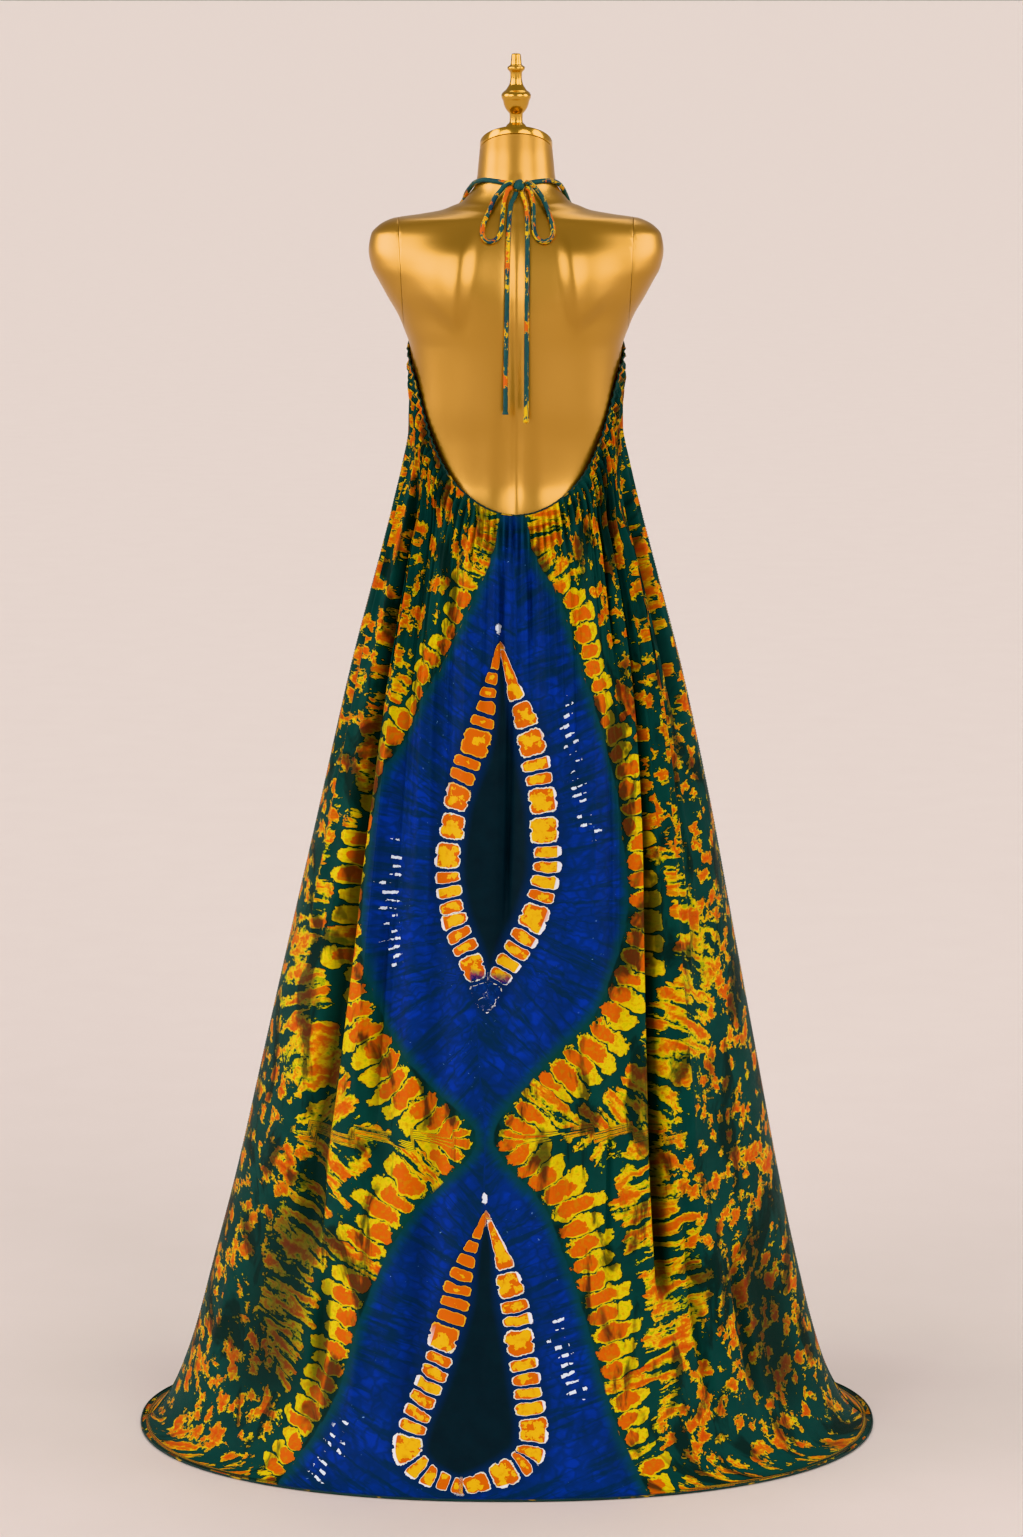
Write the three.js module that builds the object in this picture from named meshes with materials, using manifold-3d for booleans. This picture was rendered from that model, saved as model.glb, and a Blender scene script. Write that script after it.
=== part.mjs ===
// Halter-neck maxi dress, tied on a limbless dress form. Millimetres, Z up, the floor is Z = 0.
// The open back faces -Y, and +X is the right-hand side as seen from behind.
import * as THREE from 'three';
import { RoundedBoxGeometry } from 'three/addons/geometries/RoundedBoxGeometry.js';
import { mergeVertices } from 'three/addons/utils/BufferGeometryUtils.js';
import Module from 'manifold-3d';

const wasm = await Module();
wasm.setup();

// Driving dimensions
const CLOTH = 1.5;
const SEAM_GAP = 0.3;
const CORD_RADIUS = 3.1;
const CORD_SIDES = 8;
const CASING_BORE = 4.3;
const CASING_RADIUS = 6.2;
const CASING_RUFFLE = 0.8;
const CASING_SIDES = 8;
const GATHERS_PER_CORD_POINT = 4;
const NECK_CORD_STEPS = 50;
const LOOP_STEPS = 26;
const TAIL_STEPS = 18;
const TORSO_COLUMNS = 28;
const CAP_SEAM_X = 149;
const CAP_SEAM_LEAN = 2.6;
const CAP_SEAM_HEIGHT = 1550;
const SHOULDERS_FROM = 1420;
const NECK_CUT_HEIGHT = 1704.5;
const NECK_CAP_THICKNESS = 14;
const NECK_CAP_RIM = 45.6;
const NECK_CAP_SIDES = 28;
const NECK_TILT = 12.5;
const POLE_RADIUS = 16;
const POLE_SIDES = 20;
const BASE_RADIUS = 160;
const BASE_SIDES = 40;
const BASE_BEVEL = 3;
const BASE_THICKNESS = 12;
const TORSO_BOTTOM = 930;

// How the cloth falls: its ruffle at the stitched edge, its folds' ends and its quiet side seams
const RUFFLE_AT_EDGE = 0.35;
const GATHERS_FADE = 0.08;
const GATHERS_FADE_PAST = 0.01;
const FOLD_TOP_FADE = 110;
const FOLD_BOTTOM_FADE = 90;
const FOLDS_QUIET_FROM = 0.9;
const HEM_EVEN_SHARE = 0.55;

const GOLD = { color: 0xc08a35, roughness: 0.32, metalness: 1 };
const BRASS = { color: 0xcf962f, roughness: 0.16, metalness: 1 };
const DYED_CLOTH = { color: 0x0f4a4a, roughness: 0.75, metalness: 0 };
const DYED_CORD = { color: 0x1d5650, roughness: 0.75, metalness: 0 };

function table(columns, rows) {
  return rows.map((row) => Object.fromEntries(columns.map((name, i) => [name, row[i]])));
}

// Rings of the dress form, from its flat bottom up to the neck
const TORSO_RINGS = table(['height', 'halfWidth', 'back', 'front', 'shift', 'power'], [
  [TORSO_BOTTOM, 150, 98, 84, 0, 2.3],
  [1050, 168, 117, 93, 0, 2.3],
  [1115, 156, 112, 96, 0, 2.3],
  [1182, 135, 97, 96, 0, 2.3],
  [1235, 118, 83, 90, 0, 2.3],
  [1270, 114, 80, 88, 0, 2.3],
  [1320, 119, 84, 92, 0, 2.25],
  [1366, 127, 89, 104, 0, 2.2],
  [1400, 131.5, 93, 115, 0, 2.15],
  [1444, 138.2, 97.5, 117, 0, 2.1],
  [1464, 144.9, 99.5, 113, 0, 2.05],
  [1484, 153.2, 100.5, 108, 0, 2],
  [1505, 165.5, 100, 102, 0, 2],
  [1526, 177, 97.5, 96, 0, 2],
  [1546, 187.3, 93, 89, 0, 2],
  [1567, 191.1, 86.5, 80, 0, 2],
  [1588, 187.7, 78, 68, 0, 2],
  [1598, 179.3, 73.5, 62, 0, 2],
  [1608, 160.5, 68.5, 56, 0, 2],
  [1613.4, 125.5, 66, 53.5, 0, 2],
  [1618.6, 96.4, 63.5, 51.5, 0, 2],
  [1624, 82.8, 61, 50, 0, 2],
  [1629, 70.5, 59, 49, 0, 2],
  [1639, 61.4, 55, 48.5, 0, 2],
  [1649, 53, 52, 48, 0, 2],
  [1660, 48.5, 49.5, 47.5, 0, 2],
  [1690, 45.8, 46, 46, 0, 2],
  [1740, 44.5, 44.5, 45, 0, 2],
]);

// Rings of the dress, its outside, from the front neck down to the hem that lies on the floor
const DRESS_RINGS = table(['height', 'halfWidth', 'back', 'front', 'shift', 'power'], [
  [1612, 158, 78, 67, 0, 2],
  [1588, 193, 90, 80, 0, 2],
  [1567, 197, 97, 91, 0, 2],
  [1546, 193, 103, 98, 0, 2],
  [1505, 171, 109, 111, 0, 2],
  [1464, 150, 108, 122, 0, 2.05],
  [1444, 141.4, 106, 126, 0, 2.1],
  [1392, 138.6, 101, 129, 0, 2.15],
  [1340, 138.8, 95, 132, 0, 2.2],
  [1288, 147.5, 91.5, 137, 0, 2.25],
  [1235, 160.8, 92.5, 144, 0, 2.3],
  [1183, 174.8, 105, 151, 0, 2.3],
  [1024, 217, 143, 175, 0, 2.3],
  [864, 252.9, 176, 197, -0.7, 2.25],
  [675, 292.7, 210, 219, -4.7, 2.2],
  [512, 326.7, 238, 237, -8, 2.2],
  [348, 360.9, 264, 255, -11.4, 2.2],
  [209, 393.9, 288, 270, -14.7, 2.2],
  [126, 415.6, 303, 280, -15.4, 2.2],
  [70, 434.5, 318, 290, -16, 2.2],
  [42, 447, 328, 297, -15.5, 2.2],
  [20, 461, 340, 306, -14.5, 2.2],
  [7, 474, 351, 313, -13.5, 2.2],
  [CLOTH, 485, 359, 318, -12.7, 2.2],
  [CLOTH, 493.4, 365, 322, -12.1, 2.2],
]);

// Deep U of the open back: the edge's height and its distance from the middle
const BACK_EDGE = table(['height', 'across'], [
  [1232, 0],
  [1234.5, 18],
  [1241, 37],
  [1255, 60],
  [1278, 84.5],
  [1304, 101],
  [1341, 117],
  [1373, 126],
  [1410, 134],
  [1441, 142],
]);

// Front: gathered neck, then the armhole edge down to the side seam
const FRONT_NECK_EDGE = table(['height', 'across'], [
  [1574, 0],
  [1576, 20],
  [1581, 42],
  [1588.5, 62],
  [1597, 78],
]);
const FRONT_ARMHOLE_EDGE = table(['height', 'across'], [
  [1597, 78],
  [1572, 86],
  [1535, 98],
  [1495, 113],
  [1462, 129],
  [1441, 142],
]);

// Folds run down the cloth: place across (-1 to 1), half-breadth, depth (a trough is below zero)
const BACK_FOLDS = table(['at', 'breadth', 'depth', 'top', 'bottom'], [
  [-0.9, 0.035, -5, 1400, 860],
  [-0.84, 0.04, 5, 1350, 300],
  [-0.77, 0.04, -8, 1330, 420],
  [-0.69, 0.05, 6, 1290, 240],
  [-0.6, 0.045, -10, 1300, 330],
  [-0.5, 0.05, 6, 1240, 160],
  [-0.38, 0.06, -6, 1210, 60],
  [-0.22, 0.06, 4, 1180, 120],
  [-0.05, 0.05, -6, 1225, 560],
  [0.08, 0.05, 5, 1200, 260],
  [0.24, 0.06, -5, 1190, 120],
  [0.4, 0.06, 5, 1230, 60],
  [0.52, 0.05, -6, 1260, 520],
  [0.6, 0.04, 7, 1230, 180],
  [0.675, 0.04, -15, 1250, 130],
  [0.75, 0.045, 9, 1270, 200],
  [0.83, 0.04, -7, 1340, 560],
  [0.9, 0.035, 4, 1370, 700],
  [-0.8, 0.09, -13, 420, 40],
  [0.86, 0.07, -13, 330, 26],
]);
const FRONT_FOLDS = table(['at', 'breadth', 'depth', 'top', 'bottom'], [
  [-0.86, 0.05, -8, 1250, 60],
  [-0.72, 0.07, 6, 1290, 120],
  [-0.56, 0.06, -10, 1320, 60],
  [-0.4, 0.06, 7, 1340, 90],
  [-0.25, 0.06, -9, 1390, 180],
  [-0.1, 0.06, 5, 1380, 60],
  [0.06, 0.06, -8, 1400, 260],
  [0.2, 0.06, 7, 1360, 80],
  [0.36, 0.06, -10, 1340, 60],
  [0.52, 0.07, 6, 1320, 160],
  [0.67, 0.06, -9, 1300, 50],
  [0.84, 0.06, 5, 1240, 120],
]);

// Rows of the cloth, placed by the way down from the edge, by share, or by the way up from the hem
const ROWS_BELOW_EDGE = [0, 22, 52, 120];
const SHARES_BETWEEN = [0.13, 0.27, 0.41, 0.55, 0.7, 0.85];
const ROWS_ABOVE_HEM = [150, 98, 64, 42, 25, 11, 0];
const GATHER_END = ROWS_BELOW_EDGE[ROWS_BELOW_EDGE.length - 1];

const BACK_PANEL = {
  middle: 0,
  gathers: 60,
  gatherDepth: 1.7,
  gatherReach: 1,
  coarse: 2,
  folds: BACK_FOLDS,
  nearMiddle: 0.8,
};
const FRONT_PANEL = {
  middle: 180,
  gathers: 30,
  gatherDepth: 1.5,
  gatherReach: 2 / 3,
  coarse: 1,
  folds: FRONT_FOLDS,
};

// The cord round the neck, outside its channel: direction from the back's middle, height, stand-off
const NECK_CORD_LEFT = table(['angle', 'height', 'lift'], [
  [-4.9, 1653.6, 4],
  [-16, 1655, 3.8],
  [-30, 1656, 3.8],
  [-46, 1655, 3.8],
  [-60, 1651, 3.8],
  [-73, 1644.5, 3.8],
  [-86, 1636, 3.8],
  [-99, 1628, 3.9],
  [-111, 1620.5, 4.4],
  [-121, 1612.5, 6.5],
]);
const NECK_CORD_RIGHT = table(['angle', 'height', 'lift'], [
  [12.3, 1653.6, 4],
  [24, 1654.8, 3.8],
  [37, 1655.2, 3.8],
  [50, 1653.8, 3.8],
  [64, 1649.5, 3.8],
  [78, 1642, 3.8],
  [91, 1633.5, 3.8],
  [103, 1626, 3.9],
  [114, 1618.5, 4.4],
  [122, 1611.5, 6.5],
]);

// The bow's loops and ends on the back of the form: across, height, stand-off from its surface
const LOOP_LEFT = table(['across', 'height', 'lift'], [
  [-4.8, 1656.6, 11.2],
  [-8, 1656.4, 11.6],
  [-14, 1653, 11.2],
  [-20, 1646, 10.2],
  [-27, 1637, 8.6],
  [-32.5, 1625, 7],
  [-38, 1613, 5.8],
  [-42.3, 1602, 4.8],
  [-43.3, 1592, 4.2],
  [-40, 1585, 4],
  [-33, 1582, 4],
  [-25.5, 1585, 4],
  [-20.5, 1592, 4.2],
  [-18.2, 1603, 4.8],
  [-17.2, 1617, 6],
  [-15.6, 1630, 7.8],
  [-13, 1641.5, 9.6],
  [-9, 1648.6, 9.8],
  [-4.8, 1649.4, 9.6],
]);
const LOOP_RIGHT = table(['across', 'height', 'lift'], [
  [12.1, 1656.6, 11.2],
  [15.2, 1656.4, 11.6],
  [21, 1652.6, 11.2],
  [27, 1646, 10.2],
  [33.5, 1636.5, 8.6],
  [39, 1624.5, 7],
  [43.8, 1612, 5.8],
  [46.8, 1600.5, 4.8],
  [46.6, 1591.5, 4.2],
  [42.6, 1584.8, 4],
  [35.8, 1582, 4],
  [28.6, 1585, 4],
  [23.8, 1592, 4.2],
  [22, 1603, 4.8],
  [22, 1617, 6],
  [21.4, 1630, 7.8],
  [19.4, 1641.5, 9.6],
  [16, 1648.6, 9.8],
  [12.1, 1649.4, 9.6],
]);
const TAIL_LEFT = table(['across', 'height', 'lift'], [
  [-0.2, 1644.7, 7.2],
  [-0.5, 1642, 6.8],
  [-2.8, 1636.5, 8],
  [-6.2, 1630, 8.6],
  [-8.2, 1618, 6.6],
  [-9.4, 1600, 4.6],
  [-10.2, 1575, 3.9],
  [-11, 1545, 3.8],
  [-11.6, 1510, 3.7],
  [-12.2, 1480, 3.7],
  [-12.8, 1450, 5],
  [-13.3, 1415, 8.8],
  [-13.6, 1385, 12],
  [-13.8, 1363, 14.2],
]);
const TAIL_RIGHT = table(['across', 'height', 'lift'], [
  [7.4, 1644.7, 7.2],
  [7.7, 1642, 6.8],
  [10, 1636.5, 8],
  [13, 1628, 8.6],
  [14.2, 1614, 6],
  [14.4, 1592, 4.4],
  [14.2, 1562, 3.8],
  [13.9, 1526, 3.7],
  [13.6, 1490, 3.7],
  [13.3, 1455, 4.8],
  [13.1, 1420, 8.4],
  [12.9, 1385, 12],
  [12.7, 1351, 15.4],
]);
const KNOT = { across: 3.6, height: 1653.1, lift: 9.4, width: 15.6, depth: 13, tall: 15.6, round: 3 };

// Turned finial: radius and height, up from the neck cap
const FINIAL = table(['radius', 'height'], [
  [15, 1714],
  [15, 1727],
  [11, 1731.4],
  [7.3, 1736.5],
  [9.5, 1745],
  [13.5, 1751.8],
  [16.2, 1761],
  [18, 1767.1],
  [15, 1771.5],
  [9.7, 1776.8],
  [7.2, 1782.4],
  [6.4, 1790],
  [8.6, 1796],
  [10.3, 1801.5],
  [8.4, 1805.5],
  [6.2, 1808],
  [5.4, 1812],
  [3.6, 1816.4],
]);
const FINIAL_TOP = 1818;
const FINIAL_SIDES = 14;

// A smooth curve through a table's rows that never overshoots them
function curve(places, values) {
  const last = places.length - 1;
  const steps = values.slice(1).map((value, i) => (value - values[i]) / (places[i + 1] - places[i]));
  const slopes = values.map((_, i) => {
    if (i === 0 || i === last) return steps[Math.min(i, last - 1)];
    const product = steps[i - 1] * steps[i];
    return product <= 0 ? 0 : (2 * product) / (steps[i - 1] + steps[i]);
  });
  return (place) => {
    const at = Math.min(Math.max(place, places[0]), places[last]);
    let i = 0;
    while (i < last - 1 && at > places[i + 1]) i += 1;
    const span = places[i + 1] - places[i];
    const t = (at - places[i]) / span;
    const rise = values[i + 1] - values[i];
    const start = slopes[i] * span;
    const end = slopes[i + 1] * span;
    return values[i] + t * (start + t * (3 * rise - 2 * start - end + t * (start + end - 2 * rise)));
  };
}

function smooth(from, to, value) {
  const t = Math.min(Math.max((value - from) / (to - from), 0), 1);
  return t * t * (3 - 2 * t);
}

// A stack of rings becomes one surface: place along the stack and direction from the back's middle.
// climb is 1 where the places run upwards and -1 where they run downwards.
function surface(rings, places, climb) {
  const fields = ['height', 'halfWidth', 'back', 'front', 'shift', 'power'];
  const curves = fields.map((field) => [field, curve(places, rings.map((ring) => ring[field]))]);
  const ringAt = (place) => Object.fromEntries(curves.map(([field, at]) => [field, at(place)]));
  const point = (degrees, place) => {
    const ring = ringAt(place);
    const angle = THREE.MathUtils.degToRad(degrees);
    const sideways = Math.sin(angle);
    const backwards = Math.cos(angle);
    const depth = backwards > 0 ? ring.back : ring.front;
    const sum = Math.abs(sideways / ring.halfWidth) ** ring.power + Math.abs(backwards / depth) ** ring.power;
    const reach = sum ** (-1 / ring.power);
    return new THREE.Vector3(ring.shift + reach * sideways, -reach * backwards, ring.height);
  };
  const normal = (degrees, place) => {
    const round = point(degrees + 0.5, place).sub(point(degrees - 0.5, place));
    const along = point(degrees, place + 0.5).sub(point(degrees, place - 0.5));
    return round.cross(along).normalize().multiplyScalar(climb);
  };
  return { ringAt, point, normal };
}

const torso = surface(TORSO_RINGS, TORSO_RINGS.map((ring) => ring.height), 1);

// Soft relief of the form's back: two shoulder blades and the hollow between them
const BLADE = { angle: 38, height: 1535, breadth: 17, tall: 60, rise: 4 };
const HOLLOW = { height: 1450, breadth: 8, tall: 150, rise: -3 };

function bump(offset, breadth) {
  return Math.exp(-((offset / breadth) ** 2));
}

function torsoRelief(degrees, height) {
  const angle = ((degrees + 540) % 360) - 180;
  const blades = bump(Math.abs(angle) - BLADE.angle, BLADE.breadth) * bump(height - BLADE.height, BLADE.tall);
  const hollow = bump(angle, HOLLOW.breadth) * bump(height - HOLLOW.height, HOLLOW.tall);
  return BLADE.rise * blades + HOLLOW.rise * hollow;
}

function onTorso(degrees, height, lift) {
  const out = torso.normal(degrees, height);
  return torso.point(degrees, height).addScaledVector(out, torsoRelief(degrees, height) + lift);
}

// A point on the form's back, given how far across it is
function onBack({ across, height, lift }) {
  const ring = torso.ringAt(height);
  const depth = ring.back * (1 - Math.abs(across / ring.halfWidth) ** ring.power) ** (1 / ring.power);
  const degrees = THREE.MathUtils.radToDeg(Math.atan2(across, depth));
  return new THREE.Vector3(across, -depth - torsoRelief(degrees, height) - lift, height);
}

// Dress surface: its places run down the cloth, so the hem's last flat rings are as easy as the rest
const dressPlaces = DRESS_RINGS.reduce((places, ring, i) => {
  if (i === 0) return [0];
  const above = DRESS_RINGS[i - 1];
  const out = (ring.halfWidth + ring.back - above.halfWidth - above.back) / 2;
  return [...places, places[i - 1] + Math.hypot(out, ring.height - above.height)];
}, []);
const HEM_PLACE = dressPlaces[dressPlaces.length - 1];
const dress = surface(DRESS_RINGS, dressPlaces, -1);
const upperRings = DRESS_RINGS.map((ring) => -ring.height);
const placeOfHeight = curve(upperRings.slice(0, -1), dressPlaces.slice(0, -1));

function edgePoint(panel, { height, across }) {
  const place = placeOfHeight(-height);
  const ring = dress.ringAt(place);
  const depth = panel.middle === 0 ? ring.back : ring.front;
  const share = Math.min(across / ring.halfWidth, 1);
  const away = depth * (1 - share ** ring.power) ** (1 / ring.power);
  return { place, spread: THREE.MathUtils.radToDeg(Math.atan2(across, away)) };
}

// One stretch of a panel's upper edge, from one share of its half to another
function edgeStretch(panel, rows) {
  const points = rows.map((row) => edgePoint(panel, row));
  const solid = points.map(({ place, spread }) => dress.point(spread + panel.middle, place));
  const lengths = [0];
  solid.slice(1).forEach((point, i) => lengths.push(lengths[i] + point.distanceTo(solid[i])));
  const total = lengths[lengths.length - 1];
  const shares = lengths.map((length) => length / total);
  return {
    place: curve(shares, points.map((point) => point.place)),
    spread: curve(shares, points.map((point) => point.spread)),
  };
}

const backEdge = edgeStretch(BACK_PANEL, BACK_EDGE);
const neckEdge = edgeStretch(FRONT_PANEL, FRONT_NECK_EDGE);
const armholeEdge = edgeStretch(FRONT_PANEL, FRONT_ARMHOLE_EDGE);

function upperEdge(panel, share) {
  if (panel === BACK_PANEL) {
    const along = share * (panel.nearMiddle + (1 - panel.nearMiddle) * share * share);
    return { place: backEdge.place(along), spread: backEdge.spread(along) };
  }
  const reach = panel.gatherReach;
  const stretch = share <= reach ? neckEdge : armholeEdge;
  const along = share <= reach ? share / reach : (share - reach) / (1 - reach);
  return { place: stretch.place(along), spread: stretch.spread(along) };
}

// The cloth fans out: how far round the hem a share of the panel's half ends
function hemSpread(share) {
  return 90 * (HEM_EVEN_SHARE * share + (1 - HEM_EVEN_SHARE) * share ** 4);
}

function foldDepth(panel, across, height) {
  const quiet = 1 - smooth(FOLDS_QUIET_FROM, 1, Math.abs(across));
  return panel.folds.reduce((sum, fold) => {
    const fade = 1 - smooth(fold.top - FOLD_TOP_FADE, fold.top, height);
    const start = smooth(fold.bottom, fold.bottom + FOLD_BOTTOM_FADE, height);
    return sum + quiet * fade * start * fold.depth * bump(across - fold.at, fold.breadth);
  }, 0);
}

function rowPlace(row, top) {
  if (row.belowEdge !== undefined) return top + row.belowEdge;
  if (row.aboveHem !== undefined) return HEM_PLACE - row.aboveHem;
  const from = top + GATHER_END;
  return from + row.share * (HEM_PLACE - ROWS_ABOVE_HEM[0] - from);
}

// A point of a panel's outside and the way out from it
function clothPoint(panel, column, row) {
  const across = column / panel.gathers;
  const edge = upperEdge(panel, Math.abs(across));
  const place = rowPlace(row, edge.place);
  const down = (place - edge.place) / (HEM_PLACE - edge.place);
  const spread = edge.spread + (hemSpread(Math.abs(across)) - edge.spread) * (1 - (1 - down) ** 2);
  const degrees = panel.middle + Math.sign(across) * spread;
  const out = dress.normal(degrees, place);
  const point = dress.point(degrees, place);
  const reach = panel.gatherReach;
  const plain = reach < 1 ? smooth(reach - GATHERS_FADE, reach + GATHERS_FADE_PAST, Math.abs(across)) : 0;
  const below = place - edge.place;
  const swell = RUFFLE_AT_EDGE + (1 - RUFFLE_AT_EDGE) * smooth(0, ROWS_BELOW_EDGE[1], below);
  const free = 1 - smooth(ROWS_BELOW_EDGE[1], GATHER_END, below);
  const ruffle = panel.gatherDepth * swell * free * (1 - plain);
  const wave = column % 2 === 0 ? ruffle : -ruffle;
  point.addScaledVector(out, wave + foldDepth(panel, across, point.z));
  return { point, out };
}

// Triangles between two rows of vertex numbers, also where one row has fewer
function zip(index, upper, lower) {
  let i = 0;
  let j = 0;
  while (i < upper.length - 1 || j < lower.length - 1) {
    const nextUpper = (i + 1) / (upper.length - 1);
    const nextLower = (j + 1) / (lower.length - 1);
    if (j === lower.length - 1 || (i < upper.length - 1 && nextUpper < nextLower)) {
      index.push(upper[i], lower[j], upper[i + 1]);
      i += 1;
    } else {
      index.push(upper[i], lower[j], lower[j + 1]);
      j += 1;
    }
  }
}

function geometryOf(points, index) {
  const geometry = new THREE.BufferGeometry();
  const coordinates = points.flatMap(({ x, y, z }) => [x, y, z]);
  geometry.setAttribute('position', new THREE.Float32BufferAttribute(coordinates, 3));
  geometry.setIndex(index);
  return geometry;
}

// A wall of cloth: rows of outer points and of inner points, closed along its four edges
function wall(outerRows, innerRows) {
  const points = [];
  const number = (rows) => rows.map((row) => row.map((point) => points.push(point) - 1));
  const outer = number(outerRows);
  const inner = number(innerRows);
  const index = [];
  for (let r = 0; r < outer.length - 1; r += 1) {
    zip(index, outer[r], outer[r + 1]);
    zip(index, inner[r + 1], inner[r]);
  }
  const lastRow = outer.length - 1;
  const firstColumn = [outer.map((row) => row[0]), inner.map((row) => row[0])];
  const lastColumn = [outer.map((row) => row.at(-1)), inner.map((row) => row.at(-1))];
  zip(index, inner[0], outer[0]);
  zip(index, outer[lastRow], inner[lastRow]);
  zip(index, firstColumn[0], firstColumn[1]);
  zip(index, lastColumn[1], lastColumn[0]);
  return geometryOf(points, index);
}

function panelGeometry(panel) {
  const rows = [
    ...ROWS_BELOW_EDGE.map((belowEdge) => ({ belowEdge, step: 1 })),
    ...SHARES_BETWEEN.map((share) => ({ share, step: panel.coarse })),
    ...ROWS_ABOVE_HEM.map((aboveHem) => ({ aboveHem, step: panel.coarse })),
  ];
  const seamSide = panel === BACK_PANEL ? -1 : 1;
  const outer = [];
  const inner = [];
  for (const row of rows) {
    const outerRow = [];
    const innerRow = [];
    for (let column = -panel.gathers; column <= panel.gathers; column += row.step) {
      const { point, out } = clothPoint(panel, column, row);
      if (Math.abs(column) === panel.gathers) point.y += (seamSide * SEAM_GAP) / 2;
      const inside = point.clone().addScaledVector(out, -CLOTH);
      if (Math.abs(column) === panel.gathers) inside.y = point.y;
      inside.z = Math.max(inside.z, 0);
      outerRow.push(point);
      innerRow.push(inside);
    }
    outer.push(outerRow);
    inner.push(innerRow);
  }
  return wall(outer, inner);
}

// The gathered channel at the front neck: a tube open at both ends, standing on the panel's edge
function casingCentres() {
  const reach = Math.round(FRONT_PANEL.gathers * FRONT_PANEL.gatherReach);
  const centres = [];
  for (let column = -reach; column <= reach; column += 1) {
    const { place, spread } = upperEdge(FRONT_PANEL, Math.abs(column) / FRONT_PANEL.gathers);
    const degrees = FRONT_PANEL.middle + Math.sign(column) * spread;
    const out = dress.normal(degrees, place);
    const edge = dress.point(degrees, place).addScaledVector(out, -CLOTH / 2);
    centres.push({ column, edge, out });
  }
  centres.forEach((centre, i) => {
    const before = centres[Math.max(i - 1, 0)].edge;
    const after = centres[Math.min(i + 1, centres.length - 1)].edge;
    centre.tangent = after.clone().sub(before).normalize();
    centre.up = centre.out.clone().cross(centre.tangent).normalize();
    if (centre.up.z < 0) centre.up.negate();
    centre.middle = centre.edge.clone().addScaledVector(centre.up, CASING_RADIUS + CASING_RUFFLE + SEAM_GAP);
  });
  return centres;
}

const CASING = casingCentres();

function casingGeometry() {
  const ringOf = (centre, radius) => {
    const ring = [];
    for (let side = 0; side < CASING_SIDES; side += 1) {
      const turn = (2 * Math.PI * side) / CASING_SIDES;
      const away = centre.up.clone().multiplyScalar(Math.cos(turn));
      away.addScaledVector(centre.tangent.clone().cross(centre.up), Math.sin(turn));
      ring.push(centre.middle.clone().addScaledVector(away, radius));
    }
    return ring;
  };
  const outer = CASING.map((c) => ringOf(c, CASING_RADIUS + CASING_RUFFLE * (c.column % 2 === 0 ? 1 : -1)));
  const inner = CASING.map((c) => ringOf(c, CASING_BORE));
  const points = [];
  const closed = (rows) => rows.map((row) => {
    const numbers = row.map((point) => points.push(point) - 1);
    return [...numbers, numbers[0]];
  });
  const outside = closed(outer);
  const inside = closed(inner);
  const index = [];
  for (let r = 0; r < outside.length - 1; r += 1) {
    zip(index, outside[r + 1], outside[r]);
    zip(index, inside[r], inside[r + 1]);
  }
  zip(index, outside[0], inside[0]);
  zip(index, inside.at(-1), outside.at(-1));
  return geometryOf(points, index);
}

// A cord is a round section drawn along its route
function cordGeometry(points, steps) {
  const section = new THREE.Shape();
  for (let side = 0; side < CORD_SIDES; side += 1) {
    const turn = (2 * Math.PI * side) / CORD_SIDES;
    const corner = [CORD_RADIUS * Math.cos(turn), CORD_RADIUS * Math.sin(turn)];
    if (side === 0) section.moveTo(...corner);
    else section.lineTo(...corner);
  }
  section.closePath();
  const extrudePath = new THREE.CatmullRomCurve3(points, false, 'centripetal');
  return new THREE.ExtrudeGeometry(section, { steps, extrudePath, curveSegments: 1, bevelEnabled: false });
}

function neckCordPoints() {
  const left = NECK_CORD_LEFT.map(({ angle, height, lift }) => onTorso(angle, height, lift));
  const right = NECK_CORD_RIGHT.map(({ angle, height, lift }) => onTorso(angle, height, lift));
  const held = CASING.filter(({ column }) => column % GATHERS_PER_CORD_POINT === 0);
  const inside = held.map(({ middle }) => middle);
  return [...right, ...inside, ...left.toReversed()];
}

function knotGeometry() {
  const { x, y, z } = onBack(KNOT);
  return new RoundedBoxGeometry(KNOT.width, KNOT.depth, KNOT.tall, 2, KNOT.round).translate(x, y, z);
}

// Cuts and joins
function solid(geometry) {
  const plain = geometry.clone();
  plain.deleteAttribute('normal');
  plain.deleteAttribute('uv');
  const merged = mergeVertices(plain, 1e-4);
  const mesh = new wasm.Mesh({
    numProp: 3,
    vertProperties: new Float32Array(merged.attributes.position.array),
    triVerts: new Uint32Array(merged.index.array),
  });
  return new wasm.Manifold(mesh);
}

function geometryFrom(manifold) {
  const { vertProperties, triVerts } = manifold.getMesh();
  const geometry = new THREE.BufferGeometry();
  geometry.setAttribute('position', new THREE.BufferAttribute(new Float32Array(vertProperties), 3));
  geometry.setIndex(new THREE.BufferAttribute(new Uint32Array(triVerts), 1));
  return geometry;
}

function torsoSolid() {
  const points = [];
  const rows = TORSO_RINGS.map(({ height }) => {
    const numbers = [];
    for (let column = 0; column < TORSO_COLUMNS; column += 1) {
      numbers.push(points.push(onTorso((360 * column) / TORSO_COLUMNS, height, 0)) - 1);
    }
    numbers.forEach((number) => { points[number].z = height; });
    return [...numbers, numbers[0]];
  });
  const index = [];
  for (let r = 0; r < rows.length - 1; r += 1) zip(index, rows[r + 1], rows[r]);
  const bottom = points.push(new THREE.Vector3(0, 0, TORSO_RINGS[0].height)) - 1;
  const top = points.push(new THREE.Vector3(0, 0, TORSO_RINGS.at(-1).height)) - 1;
  for (let column = 0; column < TORSO_COLUMNS; column += 1) {
    index.push(bottom, rows[0][column + 1], rows[0][column]);
    index.push(top, rows.at(-1)[column], rows.at(-1)[column + 1]);
  }
  return solid(geometryOf(points, index));
}

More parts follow.
